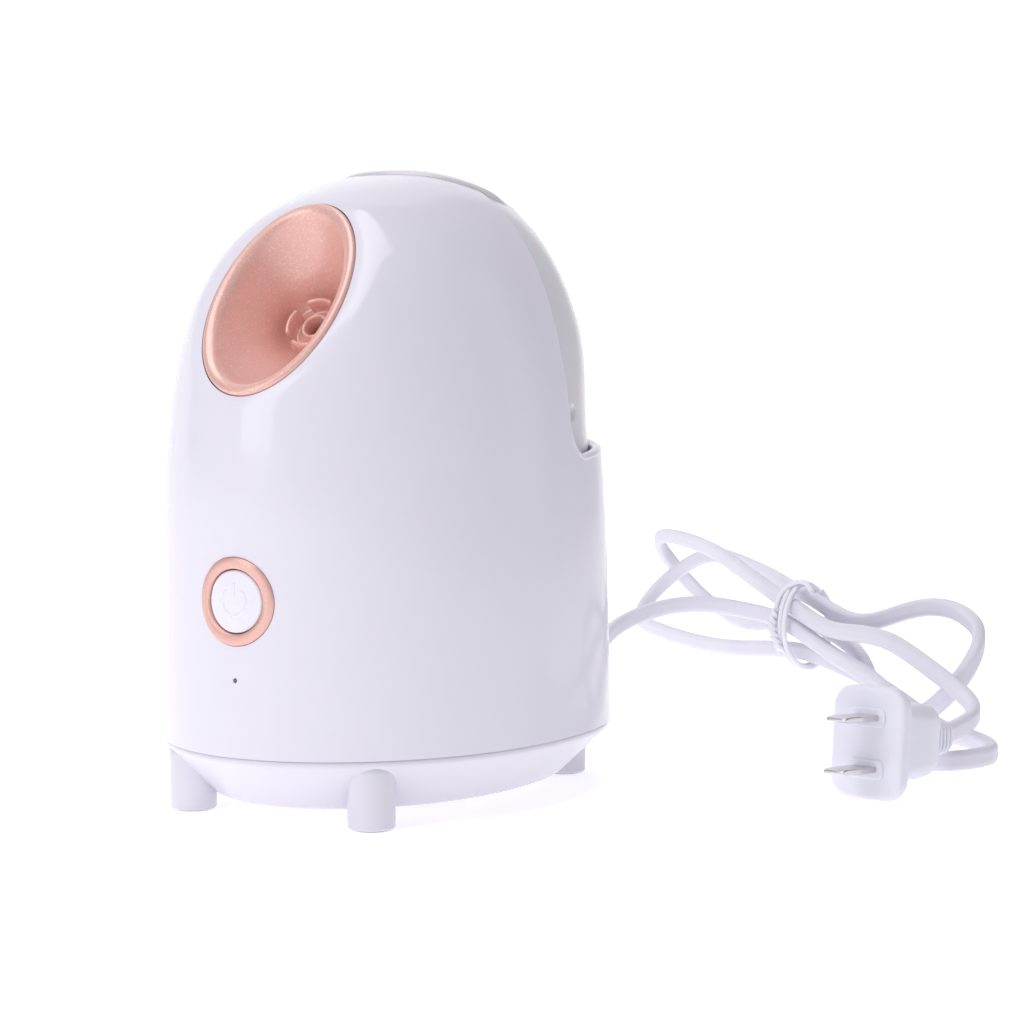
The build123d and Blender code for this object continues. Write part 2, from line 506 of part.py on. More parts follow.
save("mains_wires", rod_y(2.65, 0, GLAND_Z, 45, 55.0) + Compound(children=[
    tube([(side * 1.3, 46, GLAND_Z), (side * 3 - 4, 41, GLAND_Z - 1), (side * 3 - 12, 37, GLAND_Z - 2),
          (side * 3.9 - 19.3, 42, 24.5)], 1.1) for side in (-1, 1)]))

heading = radians(HANK_HEADING)
along = Vector(cos(heading), sin(heading), 0)
upward = Vector(0, 0, 1)
HANK_ROWS = [(-194, 17, 7, 8), (-184, 17, 13, 14), (-158, 17.5, 16.5, 18), (-118, 17.5, 16.5, 17),
             (-68, 18, 15.5, 12), (-28, 18, 14, 8), (-8, 18, 13, 7), (8, 18, 13, 7), (34, 17.5, 13.5, 8.5),
             (70, 17.5, 15.5, 10.5), (104, 17.5, 16, 11.5), (124, 17.5, 12.5, 9), (131, 17.5, 7, 5)]


def make_hank():
    """The tied hank: upright ellipses across its line, broad in each end loop and waisted at the tie."""
    rows = []
    for distance, height, half_height, half_width in HANK_ROWS:
        centre = Vector(TIE_PLACE[0], TIE_PLACE[1], height) + along * distance
        rows.append(Plane(origin=centre, x_dir=upward, z_dir=along) * Ellipse(half_height, half_width))
    return loft(rows)


hank = make_hank()
LEAD_ROUTE = [(0, GLAND_TIP_Y, GLAND_Z), (-1, 106, 27.5), (-14, 142, 17), (-40, 178, 9), (-50, 210, 18),
              (-36, 236, 24.5), (-8, 244, 20)]
TAIL_ROUTE = [(98, 136, 17.5), (110, 124, 13.5), (114.2, 106, 11.5), (112.865, 89.968, 10.91)]
lead = tube(LEAD_ROUTE, CORD_DIAMETER / 2, "cord_lead")
tail = tube(TAIL_ROUTE, CORD_DIAMETER / 2, "cord_tail")
lead_free = sorted((lead - hank).solids(), key=lambda s: s.volume)[-1]
tail_free = sorted((tail - hank).solids(), key=lambda s: s.volume)[-1]
save("cord_lead", lead_free)
save("cord_hank", hank)

tie_plane = Plane(origin=(TIE_PLACE[0], TIE_PLACE[1], 18.0), x_dir=upward, z_dir=along)
tie = extrude(tie_plane.offset(-3.6) * (Ellipse(14.9, 8.9) - Ellipse(13.4, 7.4)), 7.2)
tie += tie_plane * Pos(15.2, 0, -11.0) * Cylinder(1.6, 22, align=(Align.CENTER, Align.CENTER, Align.MIN))
save("twist_tie", tie - hank)

# ---------------------------------------------------------------- plug
plug_turn, plug_lift = radians(PLUG_TURN), radians(PLUG_LIFT)
plug_plane = Plane(origin=(PLUG_PLACE[0], PLUG_PLACE[1], 0.45),
                   x_dir=(-cos(plug_turn), sin(plug_turn), 0),
                   z_dir=(sin(plug_turn) * cos(plug_lift), cos(plug_turn) * cos(plug_lift), -sin(plug_lift)))


def plug_loft(rows):
    """A loft along the plug, through rounded rectangles: rows of distance, half width, half height."""
    return loft([plug_plane * Pos(0, 14, d) * RectangleRounded(2 * w, 2 * h, min(w, h) * 0.55)
                 for d, w, h in rows])


plug = plug_loft([(0, 10, 14), (4.2, 10, 14)])
plug += plug_loft([(4.2, 9.0, 12.6), (9, 7.9, 10.0), (16, 8.2, 9.4), (24, 7.6, 8.6), (27, 7.0, 8.0)])
plug += plug_loft([(27, 5.4, 5.2), (40, 4.1, 3.9)])
save("plug_body", plug)
blades = []
for offset in (-6.35, 6.35):
    blade = plug_plane * Pos(0, 14 + offset, -16.5) * Box(6.35, 1.5, 16.5, align=(Align.CENTER, Align.CENTER, Align.MIN))
    blades.append(blade)
save("plug_blades", Compound(children=blades))
save("cord_tail", tail_free)
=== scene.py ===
import json
from math import cos, pi, radians, sin

import bmesh
import bpy
import numpy as np
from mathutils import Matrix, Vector
from mathutils.bvhtree import BVHTree
from mathutils.interpolate import poly_3d_calc


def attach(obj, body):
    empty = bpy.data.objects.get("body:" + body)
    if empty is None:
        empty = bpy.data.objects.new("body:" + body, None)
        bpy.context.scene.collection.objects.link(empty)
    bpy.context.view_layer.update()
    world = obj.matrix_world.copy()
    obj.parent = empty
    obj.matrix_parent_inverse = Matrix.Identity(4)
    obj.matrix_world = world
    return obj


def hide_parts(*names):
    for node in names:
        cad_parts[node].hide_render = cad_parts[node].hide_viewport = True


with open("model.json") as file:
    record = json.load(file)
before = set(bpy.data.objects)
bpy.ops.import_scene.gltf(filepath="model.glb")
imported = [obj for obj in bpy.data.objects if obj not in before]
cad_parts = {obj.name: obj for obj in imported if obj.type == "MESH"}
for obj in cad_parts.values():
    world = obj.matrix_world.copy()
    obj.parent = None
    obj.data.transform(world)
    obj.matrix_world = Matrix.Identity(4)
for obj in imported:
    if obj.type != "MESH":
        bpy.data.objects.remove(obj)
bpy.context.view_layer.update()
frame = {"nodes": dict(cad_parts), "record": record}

MM = 0.001

# -------------------- the body's own dimensions, mm
HEIGHT = 155.0
SEAM_Z = 17.0
HALF_WIDTH = 51.0
FRONT_REACH = 64.5
REAR_REACH = 57.5
CENTRE_Y = 3.5
APEX_SHIFT = 6.0
WALL = 2.4
NOZZLE_CENTRE = np.array([0.0, -42.8, 123.8])
NOZZLE_TILT = radians(35.8)
NOZZLE_NORMAL = np.array([0.0, -cos(NOZZLE_TILT), sin(NOZZLE_TILT)])
NOZZLE_UPHILL = np.array([0.0, sin(NOZZLE_TILT), cos(NOZZLE_TILT)])
NOZZLE_RX = 18.85
NOZZLE_RY = 27.65
BUTTON_Z = 53.6
BUTTON_RADIUS = 7.35
RING_INNER = 7.6
RING_OUTER = 10.35
LED_Z = 35.2
SCOOP_FRONT_Y = 13.5
TANK_FRONT_Y = 13.9
TANK_FLOOR_Z = 78.0
TANK_CAP_Y = 34.0
TONGUE_Y = 24.0
TONGUE_RADIUS = 24.0
GLAND_Z = 30.0
FRONT_POWER = 2.0         # the outline's squareness ahead of its centre, and behind it
REAR_POWER = 2.5
LEG_PLACES = [(-26.0, -43.2), (26.0, -43.2), (-25.0, 48.5), (25.0, 48.5)]
RIM_RADIUS = 1.25
ALMOST_TOP = 0.99999


def body_sizes(z, inset=0.0):
    """Half width, front reach, rear reach and centre of the body surface at each height."""
    top = HEIGHT - inset
    t = np.clip((np.asarray(z, float) - SEAM_Z) / (top - SEAM_Z), 0, 1)
    cap = (1 - t ** 4.3) ** (1 / 2.4)
    front_cap = (1 - t ** 7) ** (1 / 1.65)
    half = (HALF_WIDTH - inset) * (1 - 0.06 * t) * cap
    front = (FRONT_REACH - inset) * front_cap
    rear = (REAR_REACH - inset) * (1 - 0.05 * t) * cap
    return half, front, rear, CENTRE_Y + APEX_SHIFT * t ** 5


def outline(z, inset, angles):
    """The body outline at one height, as an array of points."""
    half, front, rear, centre = body_sizes(z, inset)
    s, c = np.sin(angles), np.cos(angles)
    power = np.where(s < 0, 2 / FRONT_POWER, 2 / REAR_POWER)
    reach = np.where(s < 0, front, rear)
    x = half * np.sign(c) * np.abs(c) ** power
    y = centre + reach * np.sign(s) * np.abs(s) ** power
    return np.stack([x, y, np.full_like(x, z)], -1)


def fill_ratio(x, y, z, inset=0.0):
    """Below 1 inside the body surface, 1 on it and above 1 outside."""
    half, front, rear, centre = body_sizes(z, inset)
    ahead = y < centre
    power = np.where(ahead, FRONT_POWER, REAR_POWER)
    reach = np.where(ahead, front, rear)
    return np.abs(x / half) ** power + np.abs((y - centre) / reach) ** power


def side_x(y, z, inset):
    """Half the body's width at a place along its side."""
    half, front, rear, centre = body_sizes(z, inset)
    power = np.where(y < centre, FRONT_POWER, REAR_POWER)
    reach = np.where(y < centre, front, rear)
    return half * np.clip(1 - np.abs((y - centre) / reach) ** power, 0, 1) ** (1 / power)


def front_y(x, z):
    """The body's front surface behind a point of its front view."""
    half, front, _, centre = body_sizes(z)
    return centre - front * np.sqrt(np.clip(1 - (x / half) ** 2, 0, 1))


def top_z(x, y, inset=0.0):
    """The height of the dome over a point of its plan."""
    low = np.full_like(x, SEAM_Z)
    high = np.full_like(x, HEIGHT - inset - 1e-4)
    for _ in range(40):
        middle = (low + high) / 2
        inside = fill_ratio(x, y, middle, inset) < 1
        low = np.where(inside, middle, low)
        high = np.where(inside, high, middle)
    return low


def smoothstep(t):
    t = np.clip(t, 0, 1)
    return t * t * (3 - 2 * t)


def full_turn(count):
    """Even angles round a full turn."""
    return np.arange(count) * 2 * pi / count


def flat_circle(radius, x, y, z, angles):
    """A level circle of points."""
    return np.stack([x + radius * np.cos(angles), y + radius * np.sin(angles), np.full_like(angles, z)], -1)


# -------------------- mesh helpers
SAME_SURFACE = 0.02       # mm from the smooth surface within which a point takes its normal
SMOOTH_CORNER = 0.75      # cosine of the angle past which a face keeps its own normal


def new_piece(name, vertices, faces, smooth=True):
    """A mesh object from points in millimetres."""
    mesh = bpy.data.meshes.new(name)
    mesh.from_pydata([tuple(float(c) * MM for c in v) for v in vertices], [], faces)
    mesh.validate()
    mesh.polygons.foreach_set("use_smooth", [smooth] * len(mesh.polygons))
    piece = bpy.data.objects.new(name, mesh)
    bpy.context.scene.collection.objects.link(piece)
    return piece


def skin(rings, cap_start=False, cap_end=False, closed=False):
    """Vertices and faces of a surface through rings of points."""
    count = len(rings[0])
    vertices = [p for ring in rings for p in ring]
    faces = []
    total = len(rings)
    for r in range(total if closed else total - 1):
        a, b = r * count, ((r + 1) % total) * count
        for k in range(count):
            n = (k + 1) % count
            faces.append((a + k, a + n, b + n, b + k))
    if cap_start:
        faces.append(tuple(reversed(range(count))))
    if cap_end:
        faces.append(tuple(range((total - 1) * count, total * count)))
    return vertices, faces


def join_parts(parts):
    """One list of vertices and faces from several."""
    vertices, faces = [], []
    for part_vertices, part_faces in parts:
        faces += [tuple(i + len(vertices) for i in f) for f in part_faces]
        vertices += list(part_vertices)
    return vertices, faces


def fix_normals(piece):
    """Make every face of a closed piece look outwards."""
    work = bmesh.new()
    work.from_mesh(piece.data)
    bmesh.ops.recalc_face_normals(work, faces=work.faces)
    work.to_mesh(piece.data)
    work.free()
    return piece


def closed_piece(name, *solids, smooth=True):
    """A piece of one or more solids, each given by rings of points with a face at both ends."""
    return fix_normals(new_piece(name, *join_parts([skin(rings, True, True) for rings in solids]), smooth))


def looped_piece(name, rings):
    """A piece whose last ring meets its first, such as a tube with a wall."""
    return fix_normals(new_piece(name, *skin(rings, closed=True)))


def apply_modifiers(piece):
    """Replace a piece's mesh by what its modifiers make of it."""
    depsgraph = bpy.context.evaluated_depsgraph_get()
    mesh = bpy.data.meshes.new_from_object(piece.evaluated_get(depsgraph))
    old = piece.data
    piece.modifiers.clear()
    piece.data = mesh
    bpy.data.meshes.remove(old)
    return piece


def soften_edges(piece, width, angle):
    """Round the edges of a piece that are sharper than an angle in degrees."""
    bevel = piece.modifiers.new("soft_edges", "BEVEL")
    bevel.width = width * MM
    bevel.segments = 2
    bevel.limit_method = "ANGLE"
    bevel.angle_limit = radians(angle)


def cut(piece, cutter, operation="DIFFERENCE"):
    """Cut one closed piece with another, which is then removed."""
    modifier = piece.modifiers.new("cut", "BOOLEAN")
    modifier.operation = operation
    modifier.object = cutter
    modifier.solver = "MANIFOLD"
    apply_modifiers(piece)
    bpy.data.objects.remove(cutter)
    return piece


def adopt_normals(piece, reference):
    """Shade a cut piece exactly as the smooth surface that it was cut from, which is then removed."""
    mesh, source = piece.data, reference.data
    mesh.polygons.foreach_set("use_smooth", [True] * len(mesh.polygons))
    tree = BVHTree.FromPolygons([v.co for v in source.vertices], [p.vertices[:] for p in source.polygons])
    source_normals = [v.normal.copy() for v in source.vertices]
    found = {}
    normals = []
    for polygon in mesh.polygons:
        for corner in polygon.loop_indices:
            index = mesh.loops[corner].vertex_index
            if index not in found:
                place = mesh.vertices[index].co
                hit, _, face, distance = tree.find_nearest(place)
                found[index] = None
                if distance < SAME_SURFACE * MM:
                    ids = source.polygons[face].vertices
                    weights = poly_3d_calc([source.vertices[i].co for i in ids], hit)
                    normal = Vector((0, 0, 0))
                    for weight, i in zip(weights, ids):
                        normal += weight * source_normals[i]
                    found[index] = normal.normalized()
            normal = found[index]
            if normal is None or normal.dot(polygon.normal) < SMOOTH_CORNER:
                normal = polygon.normal
            normals.append(tuple(normal))
    mesh.normals_split_custom_set(normals)
    bpy.data.objects.remove(reference)


def cylinder(radius, start, end, segments):
    """The two rings of a cylinder between two points."""
    start, end = np.asarray(start, float), np.asarray(end, float)
    axis = (end - start) / np.linalg.norm(end - start)
    side = np.cross(axis, [0, 0, 1.0] if abs(axis[2]) < 0.9 else [1.0, 0, 0])
    side /= np.linalg.norm(side)
    other = np.cross(axis, side)
    angles = full_turn(segments)
    ring = np.outer(np.cos(angles), side) + np.outer(np.sin(angles), other)
    return [start + ring * radius, end + ring * radius]


def tube_rings(path, radius, segments):
    """Rings of a round bar along an open path of points."""
    rings = []
    angles = full_turn(segments)
    up = None
    for k in range(len(path)):
        tangent = path[min(k + 1, len(path) - 1)] - path[max(k - 1, 0)]
        tangent /= np.linalg.norm(tangent)
        if up is None:
            up = np.cross(tangent, [0.3, 0.5, 0.8])
        up = up - tangent * np.dot(up, tangent)
        up /= np.linalg.norm(up)
        side = np.cross(tangent, up)
        rings.append(path[k] + radius * (np.outer(np.cos(angles), up) + np.outer(np.sin(angles), side)))
    return rings


def smooth_rows(rows, steps):
    """Catmull-Rom interpolation through rows of numbers."""
    rows = np.asarray(rows, float)
    padded = np.vstack([2 * rows[0] - rows[1], rows, 2 * rows[-1] - rows[-2]])
    out = []
    for k in range(1, len(padded) - 2):
        p0, p1, p2, p3 = padded[k - 1:k + 3]
        for t in np.linspace(0, 1, steps, endpoint=False):
            out.append(0.5 * (2 * p1 + (p2 - p0) * t + (2 * p0 - 5 * p1 + 4 * p2 - p3) * t ** 2
                              + (3 * p1 - p0 - 3 * p2 + p3) * t ** 3))
    out.append(rows[-1])
    return np.array(out)


# -------------------- camera
CAMERA_PLACE = (0.3835, -0.5745, 0.1235)
CAMERA_TURN = 31.0
CAMERA_DIP = 4.4
CAMERA_LENS = 97.4
camera_data = bpy.data.cameras.new("camera")
camera_data.lens = CAMERA_LENS
camera_data.sensor_width = 36.0
camera_data.clip_end = 50.0
camera = bpy.data.objects.new("camera", camera_data)
camera.location = CAMERA_PLACE
camera.rotation_euler = (radians(90 - CAMERA_DIP), 0, radians(CAMERA_TURN))
bpy.context.scene.collection.objects.link(camera)
bpy.context.scene.camera = camera

# -------------------- mains cord
CORD_WIDTH = 5.3
CORD_THICKNESS = 3.7
TIE_PLACE = np.array([6.0, 238.0, 0.0])
HANK_HEADING = radians(-46.0)
ALONG = np.array([cos(HANK_HEADING), sin(HANK_HEADING), 0])
BESIDE = np.array([-sin(HANK_HEADING), cos(HANK_HEADING), 0])
LEAD_ROUTE = [(0, 84, 30), (-1, 106, 27.5), (-14, 142, 17), (-40, 178, 9), (-50, 210, 18), (-36, 236, 24.5),
              (-8, 244, 20)]
TAIL_ROUTE = [(98, 136, 17.5), (110, 124, 13.5), (114.2, 106, 11.5), (112.865, 89.968, 10.91)]


def hank_point(distance, beside, height):
    """A place in the hank: along its line from the tie, beside it and above the floor."""
    return TIE_PLACE + ALONG * distance + BESIDE * beside + np.array([0, 0, height])


FIRST_OUT = [(0, -3.6, 17.5), (20, -3, 14.8), (44, -5, 13.4), (72, -6.5, 12.4), (98, -8, 10)]
FIRST_END = [(77, 132, 5.4), (80, 110, 3.4), (95, 94.5, 3.0), (113, 97.5, 3.0), (119, 115, 3.0), (109, 132, 3.0),
             (92, 144, 3.2)]
FIRST_BACK = [(103, -1, 4.6), (80, 1, 6), (50, 3, 7.6), (20, 2.4, 8.6), (0, 0.6, 9.6), (-18, -3, 8.6),
              (-38, -8, 6.2),
              (-66, -12, 4), (-102, -14.5, 3.2), (-138, -15.6, 3.2), (-156, -12.6, 5.4), (-163, -1.2, 15.6),
              (-156, 10.4, 25.8), (-136, 13.4, 28.8), (-104, 12, 28.6), (-60, 8, 28.4), (-24, 4, 27.4)]
SECOND_OUT = [(0, 2.6, 27), (20, 4, 23.5), (36, 5, 23), (52, 6, 25.5), (70, 8, 30.5), (86, 10, 33.6),
              (106, 10.5, 34),
              (128, 8.4, 30), (135.5, -1, 18.6), (129, -10.6, 7), (110, -13, 4.6)]
SECOND_BACK = [(90, -9.6, 6.4), (66, -2.4, 12.2), (38, 3, 15.4), (16, 3.6, 17.6), (0, 3.2, 19), (-22, 4.5, 17.6),
               (-57, 7, 12.5), (-98, 13.5, 7), (-132, 19.5, 4.4), (-162, 22.6, 4.8), (-179, 19.8, 8.2),
               (-185, 10.7, 19),
               (-179, 1.6, 29.8), (-163, -1.6, 34), (-136, -2.6, 35.4), (-104, -4.6, 35.8), (-72, -6.2, 34.8),
               (-44, -6, 31), (-20, -4.5, 26.8)]
THIRD_OUT = [(0, -3.2, 24), (20, -3.4, 21.4), (40, -4, 21), (62, -4.6, 23), (84, -5.4, 24.4), (104, -6, 23.4)]
CORD_ROUTE = [np.array(place, float) for place in LEAD_ROUTE]
CORD_ROUTE += [hank_point(*row) for row in FIRST_OUT]
CORD_ROUTE += [np.array(place, float) for place in FIRST_END]
CORD_ROUTE += [hank_point(*row) for row in FIRST_BACK + SECOND_OUT + SECOND_BACK + THIRD_OUT]
CORD_ROUTE += [np.array(place, float) for place in TAIL_ROUTE]


def flat_profile(name, width, thickness, count=28):
    """The section of a flat two-core cord: two rounded lobes with a shallow waist, as a closed curve."""
    data = bpy.data.curves.new(name, "CURVE")
    data.dimensions = "2D"
    spline = data.splines.new("POLY")
    spline.points.add(count - 1)
    for k in range(count):
        angle = 2 * pi * k / count
        x = width / 2 * np.sign(cos(angle)) * abs(cos(angle)) ** 0.75
        y = thickness / 2 * np.sign(sin(angle)) * abs(sin(angle)) ** 0.75
        waist = 1 - 0.10 * np.exp(-(x / (0.13 * width)) ** 2)
        spline.points[k].co = (y * waist * MM, x * MM, 0, 1)
    spline.use_cyclic_u = True
    return bpy.data.objects.new(name, data)


def nurbs_curve(name, routes, **settings):
    """A curve object with one NURBS spline for each route of points in millimetres."""
    data = bpy.data.curves.new(name, "CURVE")
    data.dimensions = "3D"
    for key, value in settings.items():
        setattr(data, key, value)
    for route in routes:
        spline = data.splines.new("NURBS")
        spline.points.add(len(route) - 1)
        for point, place in zip(spline.points, route):
            point.co = (*[float(c) * MM for c in place], 1)
        spline.order_u = 3
        spline.use_endpoint_u = True
        spline.resolution_u = 10
    piece = bpy.data.objects.new(name, data)
    bpy.context.scene.collection.objects.link(piece)
    return piece


cord_profile = flat_profile("cord_profile", CORD_WIDTH, CORD_THICKNESS)
cord = nurbs_curve("mains_cord", [CORD_ROUTE], bevel_mode="OBJECT", bevel_object=cord_profile,
                   use_fill_caps=True, twist_mode="Z_UP")


def polyline_length(points):
    return float(np.linalg.norm(np.diff(np.asarray(points), axis=0), axis=1).sum())


def read_route(piece):
    """The points of a curve's own line, in millimetres, with no bevel."""
    copy = piece.copy()
    copy.data = piece.data.copy()
    copy.data.bevel_object = None
    copy.data.bevel_depth = 0
    copy.data.bevel_mode = "ROUND"
    bpy.context.scene.collection.objects.link(copy)
    depsgraph = bpy.context.evaluated_depsgraph_get()
    mesh = bpy.data.meshes.new_from_object(copy.evaluated_get(depsgraph))
    points = [np.array(v.co) / MM for v in mesh.vertices]
    bpy.data.objects.remove(copy)
    bpy.data.meshes.remove(mesh)
    return points


CORD_LENGTH = round(polyline_length(read_route(cord)) * MM, 3)


# -------------------- twist tie
TIE_WIRE_RADIUS = 0.85
TIE_STEP = 20             # degrees between the points of its turns
TIE_TURN_POINTS = 37


def make_twist_tie():
    """Two turns of coated wire round the bundle, a twisted pair and its bent flat tail."""
    turns = []
    for k in range(TIE_TURN_POINTS):
        angle = radians(60 + TIE_STEP * k)
        slide = -4.0 + 8.0 * k / (TIE_TURN_POINTS - 1)
        turns.append(hank_point(slide + 0.8 * sin(3 * angle), 7.8 * cos(angle), 18.2 + 13.6 * sin(angle)))
    twist = []
    for phase in (0, pi):
        strand = []
        for k in range(22):
            t = k / 21
            angle = phase + 2 * pi * 3.2 * t
            centre = hank_point(-7 + 5.0 * t, -7.4 - 2.0 * sin(pi * t), 23.0 - 13.0 * t)
            strand.append(centre + TIE_WIRE_RADIUS * (cos(angle) * ALONG + sin(angle) * BESIDE))
        twist.append(strand)
    tail = [hank_point(-7, -7.6, 23.0), hank_point(-6, -6.6, 29.0), hank_point(0, -3.0, 32.6),
            hank_point(8, -2.0, 33.0), hank_point(15, -3.0, 30.5)]
    return nurbs_curve("tie_wire", [turns, *twist, tail], bevel_depth=TIE_WIRE_RADIUS * MM,
                       bevel_resolution=4, use_fill_caps=True)


twist_tie = make_twist_tie()

# -------------------- housing
ANGLES = full_turn(176)
DOME_STEPS = np.concatenate([np.linspace(0, 0.62, 44, endpoint=False),
                             1 - 0.38 * (1 - np.linspace(0, 1, 70)) ** 2.2])
MOUTH_BLEND = 1.6


def press_flat(points, depth, blend):
    """Flatten a surface softly where it stands out of the plane of the nozzle's mouth."""
    out = np.array(points)
    distance = (out - NOZZLE_CENTRE) @ NOZZLE_NORMAL + depth
    weight = np.clip(0.5 - 0.5 * distance / blend, 0, 1)
    softened = distance * weight - blend * weight * (1 - weight)
    moved = np.where(distance > -blend, softened - distance, 0)
    return out + moved[:, None] * NOZZLE_NORMAL


def dome_rings(inset, mouth_depth):
    """Rings of the body surface from the seam to the apex."""
    top = HEIGHT - inset
    rings = []
    for t in DOME_STEPS:
        z = SEAM_Z + (top - SEAM_Z) * min(t, ALMOST_TOP)
        rings.append(press_flat(outline(z, inset, ANGLES), mouth_depth, MOUTH_BLEND))
    return rings


def scoop_edge(offset):
    """Side view of the tank opening's edge, moved into the wall by an offset: y and z pairs."""
    points = [(SCOOP_FRONT_Y - offset, z) for z in np.linspace(160, 94.5, 40)]
    for k in range(1, 15):
        angle = pi + (pi / 2 + 0.06) * k / 14
        points.append((20.5 + (7.0 + offset) * cos(angle), 93.5 + (8.1 + offset) * sin(angle)))
    end_y, end_z = points[-1]
    for y in np.linspace(end_y + 1.5, 80, 46):
        points.append((y, end_z + 0.075 * (y - end_y)))
    return points


def scoop_cutter(offset):
    edge = scoop_edge(offset)
    profile = edge + [(90.0, edge[-1][1]), (90.0, 175.0), (SCOOP_FRONT_Y - offset, 175.0)]
    rings = [[(x, y, z) for y, z in profile] for x in (-70, 70)]
    return closed_piece("scoop_cutter", rings)


def rim_path(inset, offset):
    """The closed line of the opening's edge on the body, at a depth inside its surface."""
    right = []
    for y, z in scoop_edge(offset):
        if z >= HEIGHT - inset - 0.05 or fill_ratio(0.0, y, z, inset) >= 1:
            continue
        right.append((float(side_x(y, z, inset)), y, z))
    first_y = right[0][1]
    apex = (0.0, first_y, float(top_z(np.array([0.0]), np.array([first_y]), inset)[0]))
    over = []
    for share in np.linspace(0.15, 0.93, 9):
        x = right[0][0] * share
        over.append((x, first_y, float(top_z(np.array([x]), np.array([first_y]), inset)[0])))
    last_z = right[-1][2]
    _, _, rear, centre = body_sizes(last_z, inset)
    back = (0.0, float(centre + rear), last_z + 0.2)
    rear_points = []
    for share in np.linspace(0.9, 0.12, 12):
        x = right[-1][0] * share
        y = float(centre + rear * (1 - (x / body_sizes(last_z, inset)[0]) ** REAR_POWER) ** (1 / REAR_POWER))
        rear_points.append((x, y, last_z + 0.2 * (1 - share)))
    half = over + right + rear_points
    left = [(-x, y, z) for x, y, z in reversed(half)]
    return np.array([apex] + half + [back] + left)


def even_path(path, spacing):
    """A closed path again, with its points an even distance apart."""
    loop = np.vstack([path, path[:1]])
    lengths = np.concatenate([[0], np.cumsum(np.linalg.norm(np.diff(loop, axis=0), axis=1))])
    wanted = np.linspace(0, lengths[-1], int(lengths[-1] / spacing), endpoint=False)
    return np.stack([np.interp(wanted, lengths, loop[:, k]) for k in range(3)], -1)


def disc_slab(radius, low_offset, high_offset, rings=26, segments=160):
    """Rings of a round pad over the dome: offsets above its surface may depend on the place."""
    angles = full_turn(segments)
    radii = radius * np.linspace(0, 1, rings + 1)[1:]
    layers = []
    for offset, order in ((high_offset, radii), (low_offset, radii[::-1])):
        for r in order:
            x, y = r * np.cos(angles), TONGUE_Y + r * np.sin(angles)
            lift = offset(x, y, r) if callable(offset) else offset
            layers.append(np.stack([x, y, top_z(x, y) + lift], -1))
    return layers


def make_housing():
    """The one-piece white shell, cut back round the tank opening for its rolled lip, which is a piece of its own.
    """
    outside = dome_rings(0.0, 0.0)
    inside = dome_rings(WALL, WALL)
    shell = closed_piece("housing_shell", inside[::-1] + outside)
    reference = new_piece("reference", *skin(outside, False, True))
    mouth = []
    for depth in (-20.0, 12.0):
        centre = NOZZLE_CENTRE - NOZZLE_NORMAL * depth
        mouth.append([centre + NOZZLE_UPHILL * (NOZZLE_RY + 0.2) * sin(a)
                      + np.array([(NOZZLE_RX + 0.2) * cos(a), 0, 0]) for a in ANGLES])
    cut(shell, closed_piece("mouth_cutter", mouth))
    cut(shell, scoop_cutter(RIM_RADIUS - 0.05))
    cut(shell, closed_piece("recess_cutter", disc_slab(TONGUE_RADIUS + 0.4, -1.35, 3.0)))
    for radius, z, front, rear, segments in ((RING_OUTER + 0.1, BUTTON_Z, -80, -50, 128),
                                             (0.6, LED_Z, -80, -50, 32),
                                             (5.0, GLAND_Z, 50, 80, 64)):
        cut(shell, closed_piece("bore", cylinder(radius, (0, front, z), (0, rear, z), segments)))
    adopt_normals(shell, reference)
    return shell


def make_rim():
    """The rolled lip of the tank opening, broken where the tank's tongue crosses it."""
    path = even_path(rim_path(RIM_RADIUS - 0.1, RIM_RADIUS), 1.1)
    over_tongue = (path[:, 2] > 140) & (np.hypot(path[:, 0], path[:, 1] - TONGUE_Y) < TONGUE_RADIUS + 1.2)
    start = int(np.argmax(np.diff(np.concatenate([over_tongue, over_tongue[:1]]).astype(int)) < 0)) + 1
    path = np.roll(path, -start, axis=0)
    over_tongue = np.roll(over_tongue, -start)
    path = path[~over_tongue]
    return closed_piece("housing_rim", tube_rings(path, RIM_RADIUS, 20))


housing = make_housing()
housing_rim = make_rim()


def make_base():
    """The base: a rounded shoulder over 45 degree sides, and vent slots."""
    rows = [(SEAM_Z - 0.1, 5.0), (SEAM_Z - 0.1, 2.0), (SEAM_Z - 0.15, 0.9), (16.6, 0.5), (16.1, 0.45), (15.6, 0.6),
            (15.1, 1.0), (14.6, 1.5), (12.0, 4.1), (8.0, 8.1), (5.2, 10.9), (4.5, 11.65), (4.05, 12.3),
            (3.75, 13.1), (3.6, 14.0), (3.55, 15.2)]
    rings = []
    for z, inset in smooth_rows(rows, 5):
        ring = outline(SEAM_Z, inset, ANGLES)
        ring[:, 2] = z
        rings.append(ring)
    for share in (0.75, 0.5, 0.25):
        ring = outline(SEAM_Z, 15.2, ANGLES)
        ring[:, :2] = ring[:, :2] * share + np.array([0, CENTRE_Y]) * (1 - share)
        ring[:, 2] = 3.5
        rings.append(ring)
    base = closed_piece("base_body", rings)
    reference = closed_piece("reference", rings)
    slots = []
    for k in range(7):
        x = -18 + 6 * k
        slot = []
        for z in (0.0, 7.0):
            ring = []
            for start, end_y in ((0, 11), (pi, -11)):
                ring += [(x + cos(a), end_y + sin(a), z) for a in np.linspace(start, start + pi, 13)]
            slot.append(ring)
        slots.append(slot)
    cut(base, closed_piece("slot_cutter", *slots))
    adopt_normals(base, reference)
    return base


